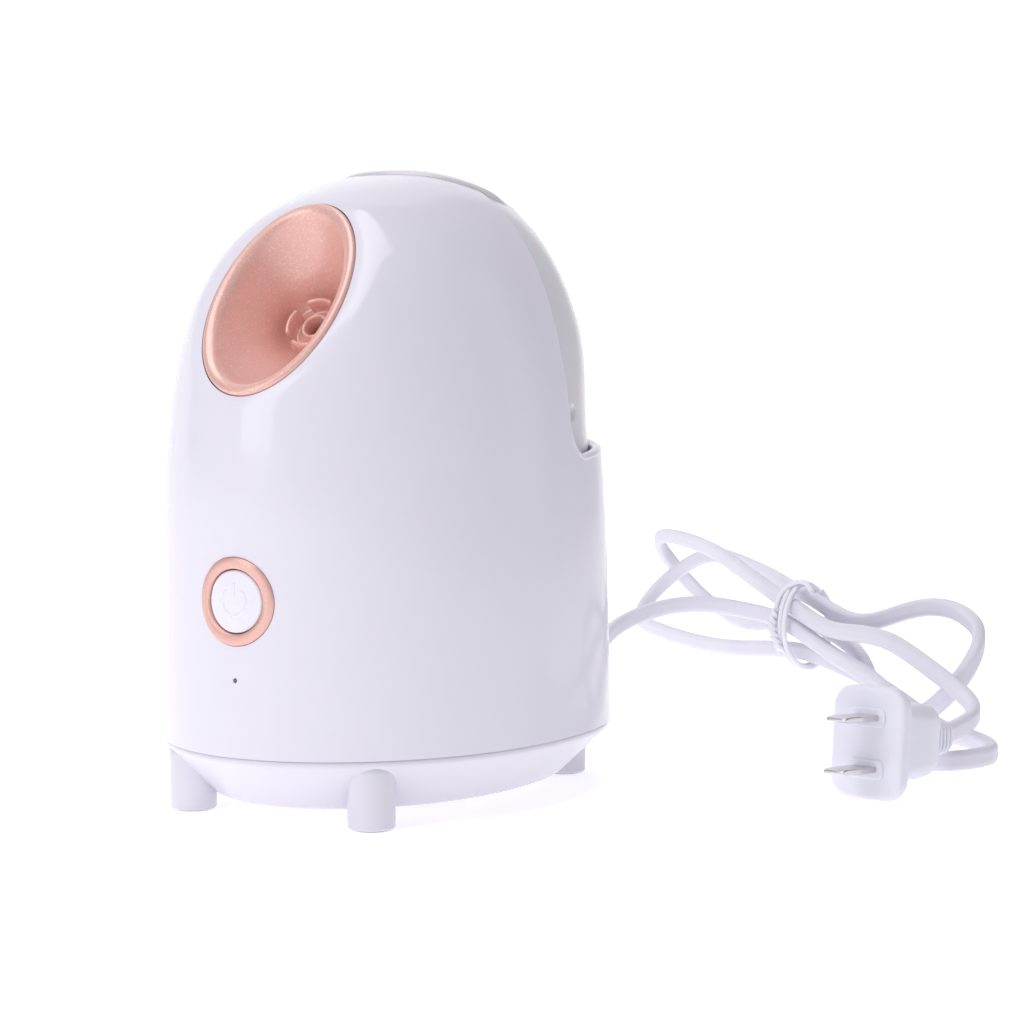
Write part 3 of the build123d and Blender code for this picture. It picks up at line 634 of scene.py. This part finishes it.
def make_legs():
    """Four round legs with a softened foot and a recess for the pad."""
    rows = [(1.8, 4.4), (0.75, 4.4), (0.4, 4.55), (0.3, 4.8), (0.3, 5.05), (0.42, 5.35), (0.75, 5.56), (1.3, 5.62),
            (6.0, 5.68), (16.2, 5.72)]
    angles = full_turn(72)
    legs = [[flat_circle(radius, x, y, z, angles) for z, radius in smooth_rows(rows, 4)] for x, y in LEG_PLACES]
    return closed_piece("base_legs", *legs)


base_body = make_base()
base_legs = make_legs()

# -------------------- nozzle
FUNNEL_ROWS = [(4.0, 0.3, 17.6, 25.6), (1.6, 0, 18.7, 27.45), (0.5, 0, 18.82, 27.6), (-0.1, 0, 18.7, 27.5),
               (-0.55, 0, 18.3, 27.1), (-0.75, 0, 17.7, 26.4), (-0.62, 0, 17.0, 25.6), (-0.1, 0.05, 16.2, 24.7),
               (1.0, 0.15, 15.3, 23.6), (2.8, 0.35, 14.5, 22.0), (5.2, 0.7, 13.5, 19.5), (8.2, 1.25, 12.1, 16.3),
               (11.2, 1.9, 10.8, 13.3), (14.2, 2.5, 9.8, 11.0), (16.6, 2.85, 9.0, 9.5), (18.0, 3, 8.0, 8.2),
               (18.45, 3, 7.0, 7.0), (18.5, 3, 5.6, 5.6)]


def nozzle_ring(depth, shift, rx, ry):
    """An ellipse in the nozzle, at a depth below the mouth and shifted up its slope."""
    angles = full_turn(200)
    centre = NOZZLE_CENTRE - NOZZLE_NORMAL * depth + NOZZLE_UPHILL * shift
    return centre + np.outer(rx * np.cos(angles), [1.0, 0, 0]) + np.outer(ry * np.sin(angles), NOZZLE_UPHILL)


def make_funnel():
    """The rose gold bowl with its rounded lip, a closed skin 1.6 mm thick."""
    rings = [nozzle_ring(*row) for row in smooth_rows(FUNNEL_ROWS, 6)]
    outside = [(19.9, 3, 5.6, 5.6), (19.9, 3, 9.4, 9.4), (17.5, 2.9, 10.6, 11.2), (12, 2, 12.2, 14.8),
               (7, 1.0, 14.6, 19.8), (4.6, 0.35, 16.9, 24.6)]
    rings += [nozzle_ring(*row) for row in smooth_rows(outside, 3)]
    return looped_piece("funnel_bowl", rings)


funnel = make_funnel()


def guard_point(radius, angle, depth):
    centre = NOZZLE_CENTRE - NOZZLE_NORMAL * depth + NOZZLE_UPHILL * 3.0
    return centre + np.array([radius * cos(angle), 0, 0]) + NOZZLE_UPHILL * radius * sin(angle)


def make_guard():
    """The notched ring, the inner cone with its rolled mouth, and the pipe stub behind the bowl."""
    parts = []
    for k in range(4):
        middle = radians(90 * k)
        rings = []
        steps = 18
        for j in range(steps + 1):
            angle = middle + radians(31) * (2 * j / steps - 1)
            edge = 1 - abs(2 * j / steps - 1)
            drop = 0.35 * max(0.0, 1 - edge * 9) ** 2
            section = [(7.0, 18.8), (7.0, 14.15 + drop), (6.85, 13.82 + drop), (6.6, 13.7 + drop),
                       (6.4, 13.7 + drop),
                       (6.15, 13.82 + drop), (6.0, 14.15 + drop), (6.0, 18.8)]
            rings.append([guard_point(r, angle, d) for r, d in section])
        parts.append(skin(rings, True, True))
    low = []
    for r, d in [(7.0, 18.9), (7.0, 16.6), (6.8, 16.4), (6.2, 16.4), (6.0, 16.6), (6.0, 17.8), (5.2, 18.0),
                 (4.3, 17.3),
                 (3.7, 16.3), (3.35, 15.6), (3.1, 15.42), (2.85, 15.45), (2.6, 15.8), (2.6, 29.0), (4.0, 29.0),
                 (4.1, 28.0), (4.1, 18.9)]:
        low.append([guard_point(r, a, d) for a in full_turn(96)])
    parts.append(skin(low, closed=True))
    return fix_normals(new_piece("steam_guard", *join_parts(parts)))


guard = make_guard()

# -------------------- button and its ring
def wrapped_ring(radius, height, segments=180):
    """A circle in the front view laid on the body's front, a height above its surface."""
    angles = full_turn(segments)
    x = radius * np.cos(angles)
    z = BUTTON_Z + radius * np.sin(angles)
    return np.stack([x, front_y(x, z) - height, z], -1)


def make_button_ring():
    rows = [(RING_OUTER - 0.02, -1.3), (RING_OUTER - 0.02, 0.1), (RING_OUTER - 0.12, 0.38),
            (RING_OUTER - 0.4, 0.52),
            (9.3, 0.58), (8.6, 0.56), (RING_INNER + 0.45, 0.46), (RING_INNER + 0.14, 0.26), (RING_INNER, -0.1),
            (RING_INNER, -4.5), (9.0, -4.5), (9.0, -1.6)]
    rings = [wrapped_ring(r, h) for r, h in rows]
    return looped_piece("ring_trim", rings)


def power_mark(x, z):
    """Height of the raised standby mark: an open ring with a bar at the top."""
    radius = np.hypot(x, z)
    angle = np.arctan2(x, z)
    arc = smoothstep((0.36 - np.abs(radius - 3.3)) / 0.2) * smoothstep((np.abs(angle) - 0.62) / 0.08)
    bar = smoothstep((0.34 - np.abs(x)) / 0.2) * smoothstep((z - 1.2) / 0.3) * smoothstep((4.6 - z) / 0.3)
    return 0.16 * np.maximum(arc, bar)


def make_button():
    """The white button cap, slightly crowned, with a raised standby mark."""
    rings = []
    angles = full_turn(240)
    for r in np.linspace(0.02, BUTTON_RADIUS - 0.5, 84):
        ring = wrapped_ring(r, 0.0, 240)
        dx, dz = r * np.cos(angles), r * np.sin(angles)
        ring[:, 1] -= 0.12 + 0.18 * (1 - (r / BUTTON_RADIUS) ** 2) + power_mark(dx, dz)
        rings.append(ring)
    for r, h in [(BUTTON_RADIUS - 0.25, 0.06), (BUTTON_RADIUS - 0.08, -0.1), (BUTTON_RADIUS, -0.4),
                 (BUTTON_RADIUS, -3.6), (BUTTON_RADIUS - 1.5, -3.8)]:
        rings.append(wrapped_ring(r, h, 240))
    return closed_piece("button_cap", rings)


def make_led():
    """The pinhole lens of the indicator, set just into the front."""
    rings = []
    angles = full_turn(32)
    for r, h in [(0.01, -0.2), (0.25, -0.22), (0.42, -0.3), (0.55, -0.45), (0.58, -0.7), (0.58, -8.0)]:
        x, z = r * np.cos(angles), LED_Z + r * np.sin(angles)
        rings.append(np.stack([x, front_y(x, z) - h, z], -1))
    return closed_piece("led_lens_tip", rings)


button_trim = make_button_ring()
button_cap = make_button()
led_tip = make_led()

# -------------------- water tank
TANK_ANGLES = full_turn(200)
TANK_GAP = 0.6            # under the body surface at the top
TANK_WALL = 1.8


def tank_inset(z):
    """How far the tank's outside lies inside the body surface: deeper towards the collar."""
    return TANK_GAP + 2.5 * smoothstep((118.0 - z) / 30.0)


def tank_rings(extra, low):
    """Rings of the tank's outside, or of its hollow when a wall thickness is taken off."""
    top = HEIGHT - TANK_GAP - extra
    rings = []
    for t in DOME_STEPS:
        z = low + (top - low) * min(t, ALMOST_TOP)
        rings.append(outline(z, float(tank_inset(z)) + extra, TANK_ANGLES))
    return rings


def half_space(origin, normal):
    """A large block whose near face is a plane."""
    normal = np.asarray(normal, float) / np.linalg.norm(normal)
    side = np.cross(normal, [0, 0, 1.0] if abs(normal[2]) < 0.9 else [1.0, 0, 0])
    side /= np.linalg.norm(side)
    other = np.cross(normal, side)
    origin = np.asarray(origin, float)
    rings = []
    for depth in (0.0, 120.0):
        rings.append([origin + normal * depth + side * a * 160.0 + other * b * 160.0
                      for a, b in ((-1, -1), (1, -1), (1, 1), (-1, 1))])
    return closed_piece("half_space", rings)


def lip_height(x, y, r):
    """The tank's tongue over the dome: level with the tank, with a raised crescent for the fingers in front."""
    from_edge = TONGUE_RADIUS - r
    beyond = np.hypot(x, y - 33.0) - 25.3
    crescent = smoothstep(beyond / 2.2) * 1.35
    rounding = 1.15 * (1 - np.sqrt(np.clip(1 - (1 - np.clip(from_edge / 1.3, 0, 1)) ** 2, 0, 1)))
    return -0.58 + crescent - rounding


def make_tank():
    """The lift-off tank with its lifting lip and finger dents, hollow inside."""
    body = closed_piece("tank_body", tank_rings(0.0, TANK_FLOOR_Z))
    reference = closed_piece("reference", tank_rings(0.0, TANK_FLOOR_Z))
    cut(body, half_space((0, TANK_FRONT_Y, 100), (0, -1, 0)))
    for side in (-1, 1):
        cut(body, half_space((side * 44.8, 14.4, 118), (side * 0.715, -0.697, -0.045)))
    lip = closed_piece("lip", disc_slab(TONGUE_RADIUS, -1.25, lip_height, 60, 200))
    work = bmesh.new()
    for source in (reference, lip):
        work.from_mesh(source.data)
    work.to_mesh(reference.data)
    work.free()
    cut(body, lip, "UNION")
    for side in (-1, 1):
        dent = []
        for row in np.linspace(-pi / 2, pi / 2, 33):
            dent.append([(side * 55.6 + 13 * cos(row) * cos(a), 20.2 + 7.4 * cos(row) * sin(a),
                          95.5 + 5.6 * sin(row) + 0.25 * 7.4 * cos(row) * sin(a)) for a in full_turn(64)])
        cut(body, closed_piece("dent", dent))
    hollow = closed_piece("hollow", tank_rings(TANK_WALL, TANK_FLOOR_Z + TANK_WALL))
    cut(hollow, half_space((0, TANK_FRONT_Y + TANK_WALL, 100), (0, -1, 0)))
    cut(body, hollow)
    adopt_normals(body, reference)
    return body


def make_neck():
    """The threaded neck under the tank's floor, an open tube."""
    rows = [(9.8, TANK_FLOOR_Z - 6.5), (11.2, TANK_FLOOR_Z - 6.5), (11.5, TANK_FLOOR_Z - 6.2)]
    for k in range(3):
        z = TANK_FLOOR_Z - 5.4 + 1.7 * k
        rows += [(11.5, z - 0.45), (11.75, z - 0.1), (11.75, z + 0.25), (11.5, z + 0.6)]
    rows += [(11.5, TANK_FLOOR_Z + 0.4), (9.8, TANK_FLOOR_Z + 0.4)]
    angles = full_turn(96)
    return looped_piece("tank_neck", [flat_circle(r, 0, TANK_CAP_Y, z, angles) for r, z in rows])


tank_body = make_tank()
tank_neck = make_neck()

# -------------------- plug
PLUG_TURN = radians(4.0)
PLUG_LIFT = radians(5.0)
BLADE_OFFSET = 6.35       # half of the standard 12.7 mm between the blades
PLUG_ORIGIN = np.array([110.0, 49.0, 0.45])
PLUG_X = np.array([-cos(PLUG_TURN), sin(PLUG_TURN), 0])
PLUG_Z = np.array([sin(PLUG_TURN) * cos(PLUG_LIFT), cos(PLUG_TURN) * cos(PLUG_LIFT), -sin(PLUG_LIFT)])
PLUG_Y = np.cross(PLUG_Z, PLUG_X)


def plug_point(x, y, z):
    return PLUG_ORIGIN + PLUG_X * x + PLUG_Y * (y + 14.0) + PLUG_Z * z


def rounded_ring(half_width, half_height, corner, distance, centre=0.0, steps=12):
    """A rounded rectangle across the plug at a distance along it."""
    corner = min(corner, half_width, half_height)
    ring = []
    for cx, cy, start in ((1, 1, 0), (-1, 1, 90), (-1, -1, 180), (1, -1, 270)):
        for k in range(steps + 1):
            angle = radians(start + 90 * k / steps)
            ring.append(plug_point(cx * (half_width - corner) + corner * cos(angle),
                                   centre + cy * (half_height - corner) + corner * sin(angle), distance))
    return ring


def make_plug():
    """The moulded plug: flange with blade pads, waisted grip and ribbed strain relief."""
    flange = [(8.4, 12.4, 4.0, 0.0), (9.0, 13.0, 4.6, 0.08), (9.6, 13.6, 5.0, 0.4), (9.95, 13.95, 5.2, 1.0),
              (10, 14, 5.3, 2.0), (10, 14, 5.3, 3.2), (9.8, 13.8, 5.2, 3.85), (9.3, 13.3, 4.9, 4.25),
              (8.8, 12.6, 4.6, 4.5), (8.2, 11.6, 4.4, 5.2), (7.7, 10.6, 4.2, 6.8), (7.5, 9.9, 4.1, 9.5),
              (7.7, 9.6, 4.2, 13.0), (8.1, 9.6, 4.4, 17.0), (8.2, 9.5, 4.5, 20.0), (7.9, 9.2, 4.4, 23.0),
              (7.3, 8.7, 4.2, 25.4), (6.6, 8.1, 4.0, 26.6), (5.8, 7.3, 3.8, 27.1), (4.4, 5.6, 3.4, 27.2)]
    pad = [(4.9, 2.4, 1.6, 0.3), (4.9, 2.4, 1.6, -0.35), (4.75, 2.25, 1.5, -0.55), (4.4, 1.9, 1.2, -0.62)]
    pads = [[rounded_ring(*row, centre=offset) for row in pad] for offset in (-BLADE_OFFSET, BLADE_OFFSET)]
    body = closed_piece("plug_moulding", [rounded_ring(*row) for row in smooth_rows(flange, 3)], *pads)
    relief_rows = [(5.6, 5.4, 3.2, 26.9), (5.5, 5.3, 3.2, 28.0), (4.2, 4.0, 2.6, 39.2), (4.1, 3.9, 2.5, 39.7),
                   (3.8, 3.6, 2.4, 40.0), (3.2, 3.0, 2.2, 40.05)]
    relief = closed_piece("plug_relief", [rounded_ring(*row) for row in relief_rows])
    slots = []
    for k in range(4):
        start = 29.2 + 2.7 * k
        for side in (-1, 1):
            slots.append([[plug_point(side * a, b, z) for a, b in ((0.9, -9), (9, -9), (9, 9), (0.9, 9))]
                          for z in (start, start + 1.3)])
    cut(relief, closed_piece("slots", *slots))
    core = closed_piece("plug_core", [rounded_ring(3.3, 3.1, 2.2, 27.5), rounded_ring(2.9, 2.7, 2.0, 39.8)])
    for piece in (relief, core):
        piece.data.polygons.foreach_set("use_smooth", [False] * len(piece.data.polygons))
    soften_edges(relief, 0.22, 35)
    apply_modifiers(relief)
    return body, relief, core


def make_blades():
    """Two flat blades with a chamfered tip and softened edges."""
    rows = [(3.17, 0.72, 0.25, 1.5), (3.17, 0.75, 0.28, 0.0), (3.17, 0.75, 0.28, -14.2), (3.0, 0.72, 0.28, -15.0),
            (2.75, 0.45, 0.2, -16.2), (2.6, 0.3, 0.15, -16.5)]
    blades = [[rounded_ring(*row, centre=offset, steps=4) for row in rows] for offset in (-BLADE_OFFSET,
                                                                                          BLADE_OFFSET)]
    return closed_piece("blade_pair", *blades)


plug_pieces = make_plug()
blade_pair = make_blades()


# -------------------- cord gland
def make_gland():
    """The tapered strain relief: a collar, a flange on the shell and a slotted taper."""
    angles = full_turn(48)
    rows = [(2.75, 55.0), (6.4, 55.0), (6.6, 55.3), (6.6, 57.7), (6.4, 58.0), (4.7, 58.1), (4.7, 61.2),
            (6.1, 61.25),
            (6.4, 61.5), (6.4, 62.2), (6.1, 62.6), (4.75, 62.9)]
    y = 65.0
    while y < 83.0:
        size = 4.6 - 0.055 * (y - 60)
        rows += [(size + 0.1, y - 0.25), (size, y), (size - 1.05, y + 0.12), (size - 1.1, y + 1.38),
                 (size, y + 1.5),
                 (size + 0.08, y + 1.8)]
        y += 3.6
    rows += [(3.5, 83.5), (3.25, 83.95), (2.75, 84.0)]
    moulding = looped_piece("gland_moulding", [np.stack([r * np.cos(angles), np.full_like(angles, y),
                                                         GLAND_Z + r * np.sin(angles)], -1) for r, y in rows])
    moulding.data.polygons.foreach_set("use_smooth", [False] * len(moulding.data.polygons))
    ribs = []
    for side in (-1, 1):
        rib = []
        for y in (63.0, 83.4):
            size = 4.55 - 0.055 * (y - 60)
            corners = ((-1.2, 2.4), (1.2, 2.4), (1.2, size), (-1.2, size))
            rib.append([(x, y, GLAND_Z + side * z) for x, z in corners])
        ribs.append(rib)
    return moulding, closed_piece("gland_ribs", *ribs, smooth=False)


gland, gland_ribs = make_gland()


# -------------------- materials
def linear(value):
    """One screen colour value, 0 to 255, as the linear value that shaders take."""
    v = value / 255
    return v / 12.92 if v <= 0.04045 else ((v + 0.055) / 1.055) ** 2.4


def shader_colour(tone, dim=1.0):
    """A tone such as 0xEAE7F1 as a shader's red, green, blue and alpha."""
    return (*[linear((tone >> shift & 255) * dim) for shift in (16, 8, 0)], 1.0)


def add_noise(surface, place, scale, detail):
    noise = surface.node_tree.nodes.new("ShaderNodeTexNoise")
    noise.inputs["Scale"].default_value = scale
    noise.inputs["Detail"].default_value = detail
    surface.node_tree.links.new(place.outputs["Object"], noise.inputs["Vector"])
    return noise


def add_bump(surface, height, strength, distance):
    nodes, links = surface.node_tree.nodes, surface.node_tree.links
    bump = nodes.new("ShaderNodeBump")
    bump.inputs["Strength"].default_value = strength
    bump.inputs["Distance"].default_value = distance
    links.new(height, bump.inputs["Height"])
    links.new(bump.outputs["Normal"], nodes["Principled BSDF"].inputs["Normal"])


def material(name, tone, second_tone, least_rough, most_rough, scale, grain, grain_scale, sockets=()):
    """A surface with two close tones, uneven gloss and a fine grain."""
    surface = bpy.data.materials.new(name)
    surface.use_nodes = True
    nodes, links = surface.node_tree.nodes, surface.node_tree.links
    shader = nodes["Principled BSDF"]
    for key, value in dict(sockets).items():
        shader.inputs[key.replace("_", " ")].default_value = value
    place = nodes.new("ShaderNodeTexCoord")
    noise = add_noise(surface, place, scale, 4.0)
    tones = nodes.new("ShaderNodeMix")
    tones.data_type = "RGBA"
    links.new(noise.outputs["Fac"], tones.inputs["Factor"])
    tones.inputs["A"].default_value = shader_colour(tone)
    tones.inputs["B"].default_value = shader_colour(second_tone) if second_tone else shader_colour(tone, 0.965)
    links.new(tones.outputs["Result"], shader.inputs["Base Color"])
    gloss = nodes.new("ShaderNodeMapRange")
    gloss.inputs["To Min"].default_value = least_rough
    gloss.inputs["To Max"].default_value = most_rough
    links.new(noise.outputs["Fac"], gloss.inputs["Value"])
    links.new(gloss.outputs["Result"], shader.inputs["Roughness"])
    if grain:
        add_bump(surface, add_noise(surface, place, grain_scale, 3.0).outputs["Fac"], grain, 0.0001)
    return surface


def add_flakes(surface, tone, scale, share):
    """Fine bright flakes in a metallic paint, each with its own tilt."""
    nodes, links = surface.node_tree.nodes, surface.node_tree.links
    shader = nodes["Principled BSDF"]
    place = nodes.new("ShaderNodeTexCoord")
    cells = nodes.new("ShaderNodeTexVoronoi")
    cells.inputs["Scale"].default_value = scale
    links.new(place.outputs["Object"], cells.inputs["Vector"])
    split = nodes.new("ShaderNodeSeparateColor")
    links.new(cells.outputs["Color"], split.inputs["Color"])
    pick = nodes.new("ShaderNodeMapRange")
    pick.inputs["From Min"].default_value = 1 - share
    pick.inputs["From Max"].default_value = 1.0
    links.new(split.outputs["Red"], pick.inputs["Value"])
    old = shader.inputs["Base Color"].links[0].from_socket
    mix = nodes.new("ShaderNodeMix")
    mix.data_type = "RGBA"
    links.new(pick.outputs["Result"], mix.inputs["Factor"])
    links.new(old, mix.inputs["A"])
    mix.inputs["B"].default_value = shader_colour(tone)
    links.new(mix.outputs["Result"], shader.inputs["Base Color"])
    add_bump(surface, split.outputs["Green"], 0.12, 0.00005)


# slot: name, two tones, least and most roughness, noise scale, grain, grain scale, other sockets
SURFACES = {
    "shell_white": ("shell_gloss", 0xEAE7F1, 0xE7E4EF, 0.13, 0.17, 45, 0.02, 500,
                    dict(Coat_Weight=0.2, Coat_Roughness=0.05, IOR=1.42)),
    "base_white": ("base_gloss", 0xE4E1EB, 0xE0DDE8, 0.2, 0.26, 45, 0.02, 500,
                   dict(Coat_Weight=0.1, Coat_Roughness=0.1, IOR=1.4)),
    "rose_gold": ("rose_gold_paint", 0xF0C0B5, 0xE9B5AA, 0.3, 0.4, 140, 0, 0,
                  dict(Metallic=0.25, Coat_Weight=0.6, Coat_Roughness=0.05)),
    "ring_rose": ("ring_paint", 0xECBCB1, 0xE4B1A6, 0.32, 0.4, 160, 0, 0,
                  dict(Metallic=0.4, Coat_Weight=0.4, Coat_Roughness=0.12)),
    "button_white": ("button_gloss", 0xF0EEF6, 0xECEAF3, 0.24, 0.3, 90, 0.03, 900,
                     dict(Coat_Weight=0.3, Coat_Roughness=0.12)),
    "tank_grey": ("tank_milky", 0xE2DDE2, 0xDCD7DD, 0.16, 0.22, 40, 0.03, 400,
                  dict(Subsurface_Weight=0.35, Subsurface_Scale=0.006, Coat_Weight=0.4, Coat_Roughness=0.06)),
    "cap_white": ("cap_plastic", 0xE0DFE4, None, 0.35, 0.45, 80, 0.1, 900),
    "dock_white": ("inner_plastic", 0xDCDAE0, None, 0.4, 0.5, 80, 0.1, 900),
    "silicone": ("silicone_rubber", 0xDAD7D2, None, 0.45, 0.6, 100, 0.1, 900,
                 dict(Subsurface_Weight=0.2, Subsurface_Scale=0.003)),
    "rubber_grey": ("pad_rubber", 0xCECDD3, None, 0.6, 0.75, 200, 0.3, 1500),
    "steel_screw": ("zinc_plate", 0xB2B2B8, 0xA0A1A8, 0.25, 0.4, 300, 0.1, 2000, dict(Metallic=1.0)),
    "spring_steel": ("spring_wire", 0xBEBEBE, None, 0.2, 0.3, 300, 0.05, 2000, dict(Metallic=1.0)),
    "board_green": ("solder_mask", 0x22603A, 0x1C5432, 0.3, 0.42, 150, 0.05, 900, dict(Coat_Weight=0.3)),
    "black_plastic": ("component_black", 0x262628, 0x1E1E20, 0.4, 0.55, 200, 0.2, 1500),
    "relay_blue": ("component_blue", 0x2C5296, None, 0.35, 0.45, 120, 0.1, 900),
    "terminal_green": ("terminal_green", 0x2C8054, None, 0.35, 0.45, 120, 0.1, 900),
    "led_lens": ("lens_grey", 0x78747E, 0x68646E, 0.1, 0.2, 400, 0.02, 900),
    "boiler_aluminium": ("cast_aluminium", 0xBABABC, 0xAAAAAD, 0.35, 0.5, 220, 0.25, 700, dict(Metallic=1.0)),
    "lid_pps": ("dark_pps", 0x342E2A, 0x2C2724, 0.45, 0.6, 160, 0.2, 900),
    "ceramic": ("heater_ceramic", 0xCEC4B0, 0xC4B8A4, 0.6, 0.7, 260, 0.3, 1400),
    "bracket_steel": ("pressed_steel", 0xB6B7BA, 0xA8A9AD, 0.3, 0.45, 240, 0.1, 1200, dict(Metallic=1.0)),
    "wire_red": ("red_insulation", 0xA81E1A, None, 0.35, 0.45, 200, 0.05, 900),
    "wire_white": ("white_insulation", 0xD6D4D0, None, 0.35, 0.45, 200, 0.05, 900),
    "cord_white": ("cord_pvc", 0xE6E4EE, 0xDFDDE9, 0.34, 0.42, 70, 0.08, 1400,
                   dict(Subsurface_Weight=0.1, Subsurface_Scale=0.002)),
    "plug_white": ("plug_pvc", 0xEAE9F3, 0xE4E3EF, 0.36, 0.44, 90, 0.1, 1600,
                   dict(Subsurface_Weight=0.1, Subsurface_Scale=0.002)),
    "blade_nickel": ("nickel_plate", 0xD6D3D4, 0xC6C3C6, 0.16, 0.28, 260, 0.06, 2600, dict(Metallic=0.9)),
    "tie_white": ("tie_pvc", 0xF0F0F6, 0xEAE9F1, 0.34, 0.42, 160, 0.08, 1400),
}
materials = {slot: material(*row) for slot, row in SURFACES.items()}
add_flakes(materials["rose_gold"], 0xFCDED4, 5200, 0.16)
add_flakes(materials["ring_rose"], 0xF8D0C0, 5200, 0.14)


def place_piece(piece, slot, body, *nodes):
    """Give a piece its material, its body and the CAD nodes that it stands for."""
    piece.data.materials.clear()
    piece.data.materials.append(materials[slot])
    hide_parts(*nodes)
    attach(piece, body)


for row in ((housing, "shell_white", "housing", "main_shell"),
            (housing_rim, "shell_white", "housing", "main_shell"),
            (base_body, "base_white", "housing", "base_tray"),
            (base_legs, "base_white", "housing", "base_tray"),
            (funnel, "rose_gold", "housing", "nozzle_funnel"),
            (guard, "rose_gold", "housing", "nozzle_guard"),
            (button_trim, "ring_rose", "housing", "button_ring"),
            (button_cap, "button_white", "button", "power_button"),
            (led_tip, "led_lens", "housing", "light_pipe"),
            (tank_body, "tank_grey", "tank", "water_tank"),
            (tank_neck, "tank_grey", "tank", "water_tank"),
            (gland, "cord_white", "housing", "cord_gland"),
            (gland_ribs, "cord_white", "housing", "cord_gland"),
            (cord, "cord_white", "housing", "cord_lead", "cord_hank", "cord_tail"),
            (twist_tie, "tie_white", "housing", "twist_tie"),
            *[(moulding, "plug_white", "housing", "plug_body") for moulding in plug_pieces],
            (blade_pair, "blade_nickel", "housing", "plug_blades")):
    place_piece(*row)

slots_of = {entry["node"]: entry["material_slot"] for entry in frame["record"]["subparts"]}
for node_name, node in frame["nodes"].items():
    if node.hide_render:
        continue
    node.data.materials.clear()
    node.data.materials.append(materials[slots_of[node_name]])
    if node_name not in ("steam_hose", "heater_wires", "control_cable", "mains_wires"):
        soften_edges(node, 0.2, 40)


# -------------------- floor and light
def from_view(side, ahead, up):
    """A place given to the right of the object, behind it and above it, as the camera sees it."""
    turn = radians(CAMERA_TURN)
    return side * cos(turn) - ahead * sin(turn), side * sin(turn) + ahead * cos(turn), up


def backdrop():
    """A pale floor that turns up into a wall behind the object, lit from within so that it stays plain."""
    profile = [(-3.0, 0.0), (1.2, 0.0)]
    for k in range(1, 13):
        angle = pi / 2 * k / 12
        profile.append((1.2 + 0.8 * sin(angle), 0.8 * (1 - cos(angle))))
    profile.append((2.0, 3.6))
    vertices = [Vector(from_view(side, ahead, up)) / MM for side in (-3.0, 3.0) for ahead, up in profile]
    count = len(profile)
    faces = [(k, k + 1, count + k + 1, count + k) for k in range(count - 1)]
    sweep = new_piece("backdrop", vertices, faces)
    paint = bpy.data.materials.new("backdrop_paint")
    paint.use_nodes = True
    shader = paint.node_tree.nodes["Principled BSDF"]
    shader.inputs["Base Color"].default_value = (0.95, 0.95, 0.96, 1)
    shader.inputs["Roughness"].default_value = 0.9
    shader.inputs["Specular IOR Level"].default_value = 0.1
    shader.inputs["Emission Color"].default_value = (1, 1, 1, 1)
    nodes, links = paint.node_tree.nodes, paint.node_tree.links
    place = nodes.new("ShaderNodeTexCoord")
    across = nodes.new("ShaderNodeVectorMath")
    across.operation = "DOT_PRODUCT"
    across.inputs[1].default_value = from_view(1, 0, 0)
    links.new(place.outputs["Object"], across.inputs[0])
    fade = nodes.new("ShaderNodeMapRange")
    fade.interpolation_type = "SMOOTHSTEP"
    for key, value in (("From Min", 0.5), ("From Max", 1.1), ("To Min", 0.44), ("To Max", 0.08)):
        fade.inputs[key].default_value = value
    links.new(across.outputs["Value"], fade.inputs["Value"])
    links.new(fade.outputs["Result"], shader.inputs["Emission Strength"])
    sweep.data.materials.append(paint)


def soft_light(name, ahead, side, up, size, energy, colour):
    """A rectangular soft light placed from the camera's point of view, looking at the object."""
    data = bpy.data.lights.new(name, "AREA")
    data.shape = "RECTANGLE"
    data.size, data.size_y = size
    data.energy = energy
    data.color = colour
    light = bpy.data.objects.new(name, data)
    light.location = from_view(side, ahead, up)
    light.rotation_euler = (Vector((0, 0, 0.08)) - light.location).to_track_quat("-Z", "Y").to_euler()
    bpy.context.scene.collection.objects.link(light)


backdrop()
soft_light("key_left", -1.0, -1.15, 0.7, (0.75, 1.2), 6.0, (1.0, 1.0, 1.0))
soft_light("front_fill", -1.6, 0.2, 1.1, (1.4, 0.9), 1.2, (0.98, 0.97, 1.0))
soft_light("top", -0.2, -0.2, 1.5, (1.2, 1.2), 11.0, (1.0, 0.99, 1.0))
soft_light("right_rim", 0.3, 1.6, 0.6, (0.5, 1.2), 0.6, (0.97, 0.96, 1.0))

world = bpy.data.worlds.new("studio")
world.use_nodes = True
world.node_tree.nodes["Background"].inputs["Color"].default_value = (0.86, 0.85, 0.93, 1)
world.node_tree.nodes["Background"].inputs["Strength"].default_value = 0.33
bpy.context.scene.world = world
bpy.context.scene.view_settings.view_transform = "Standard"
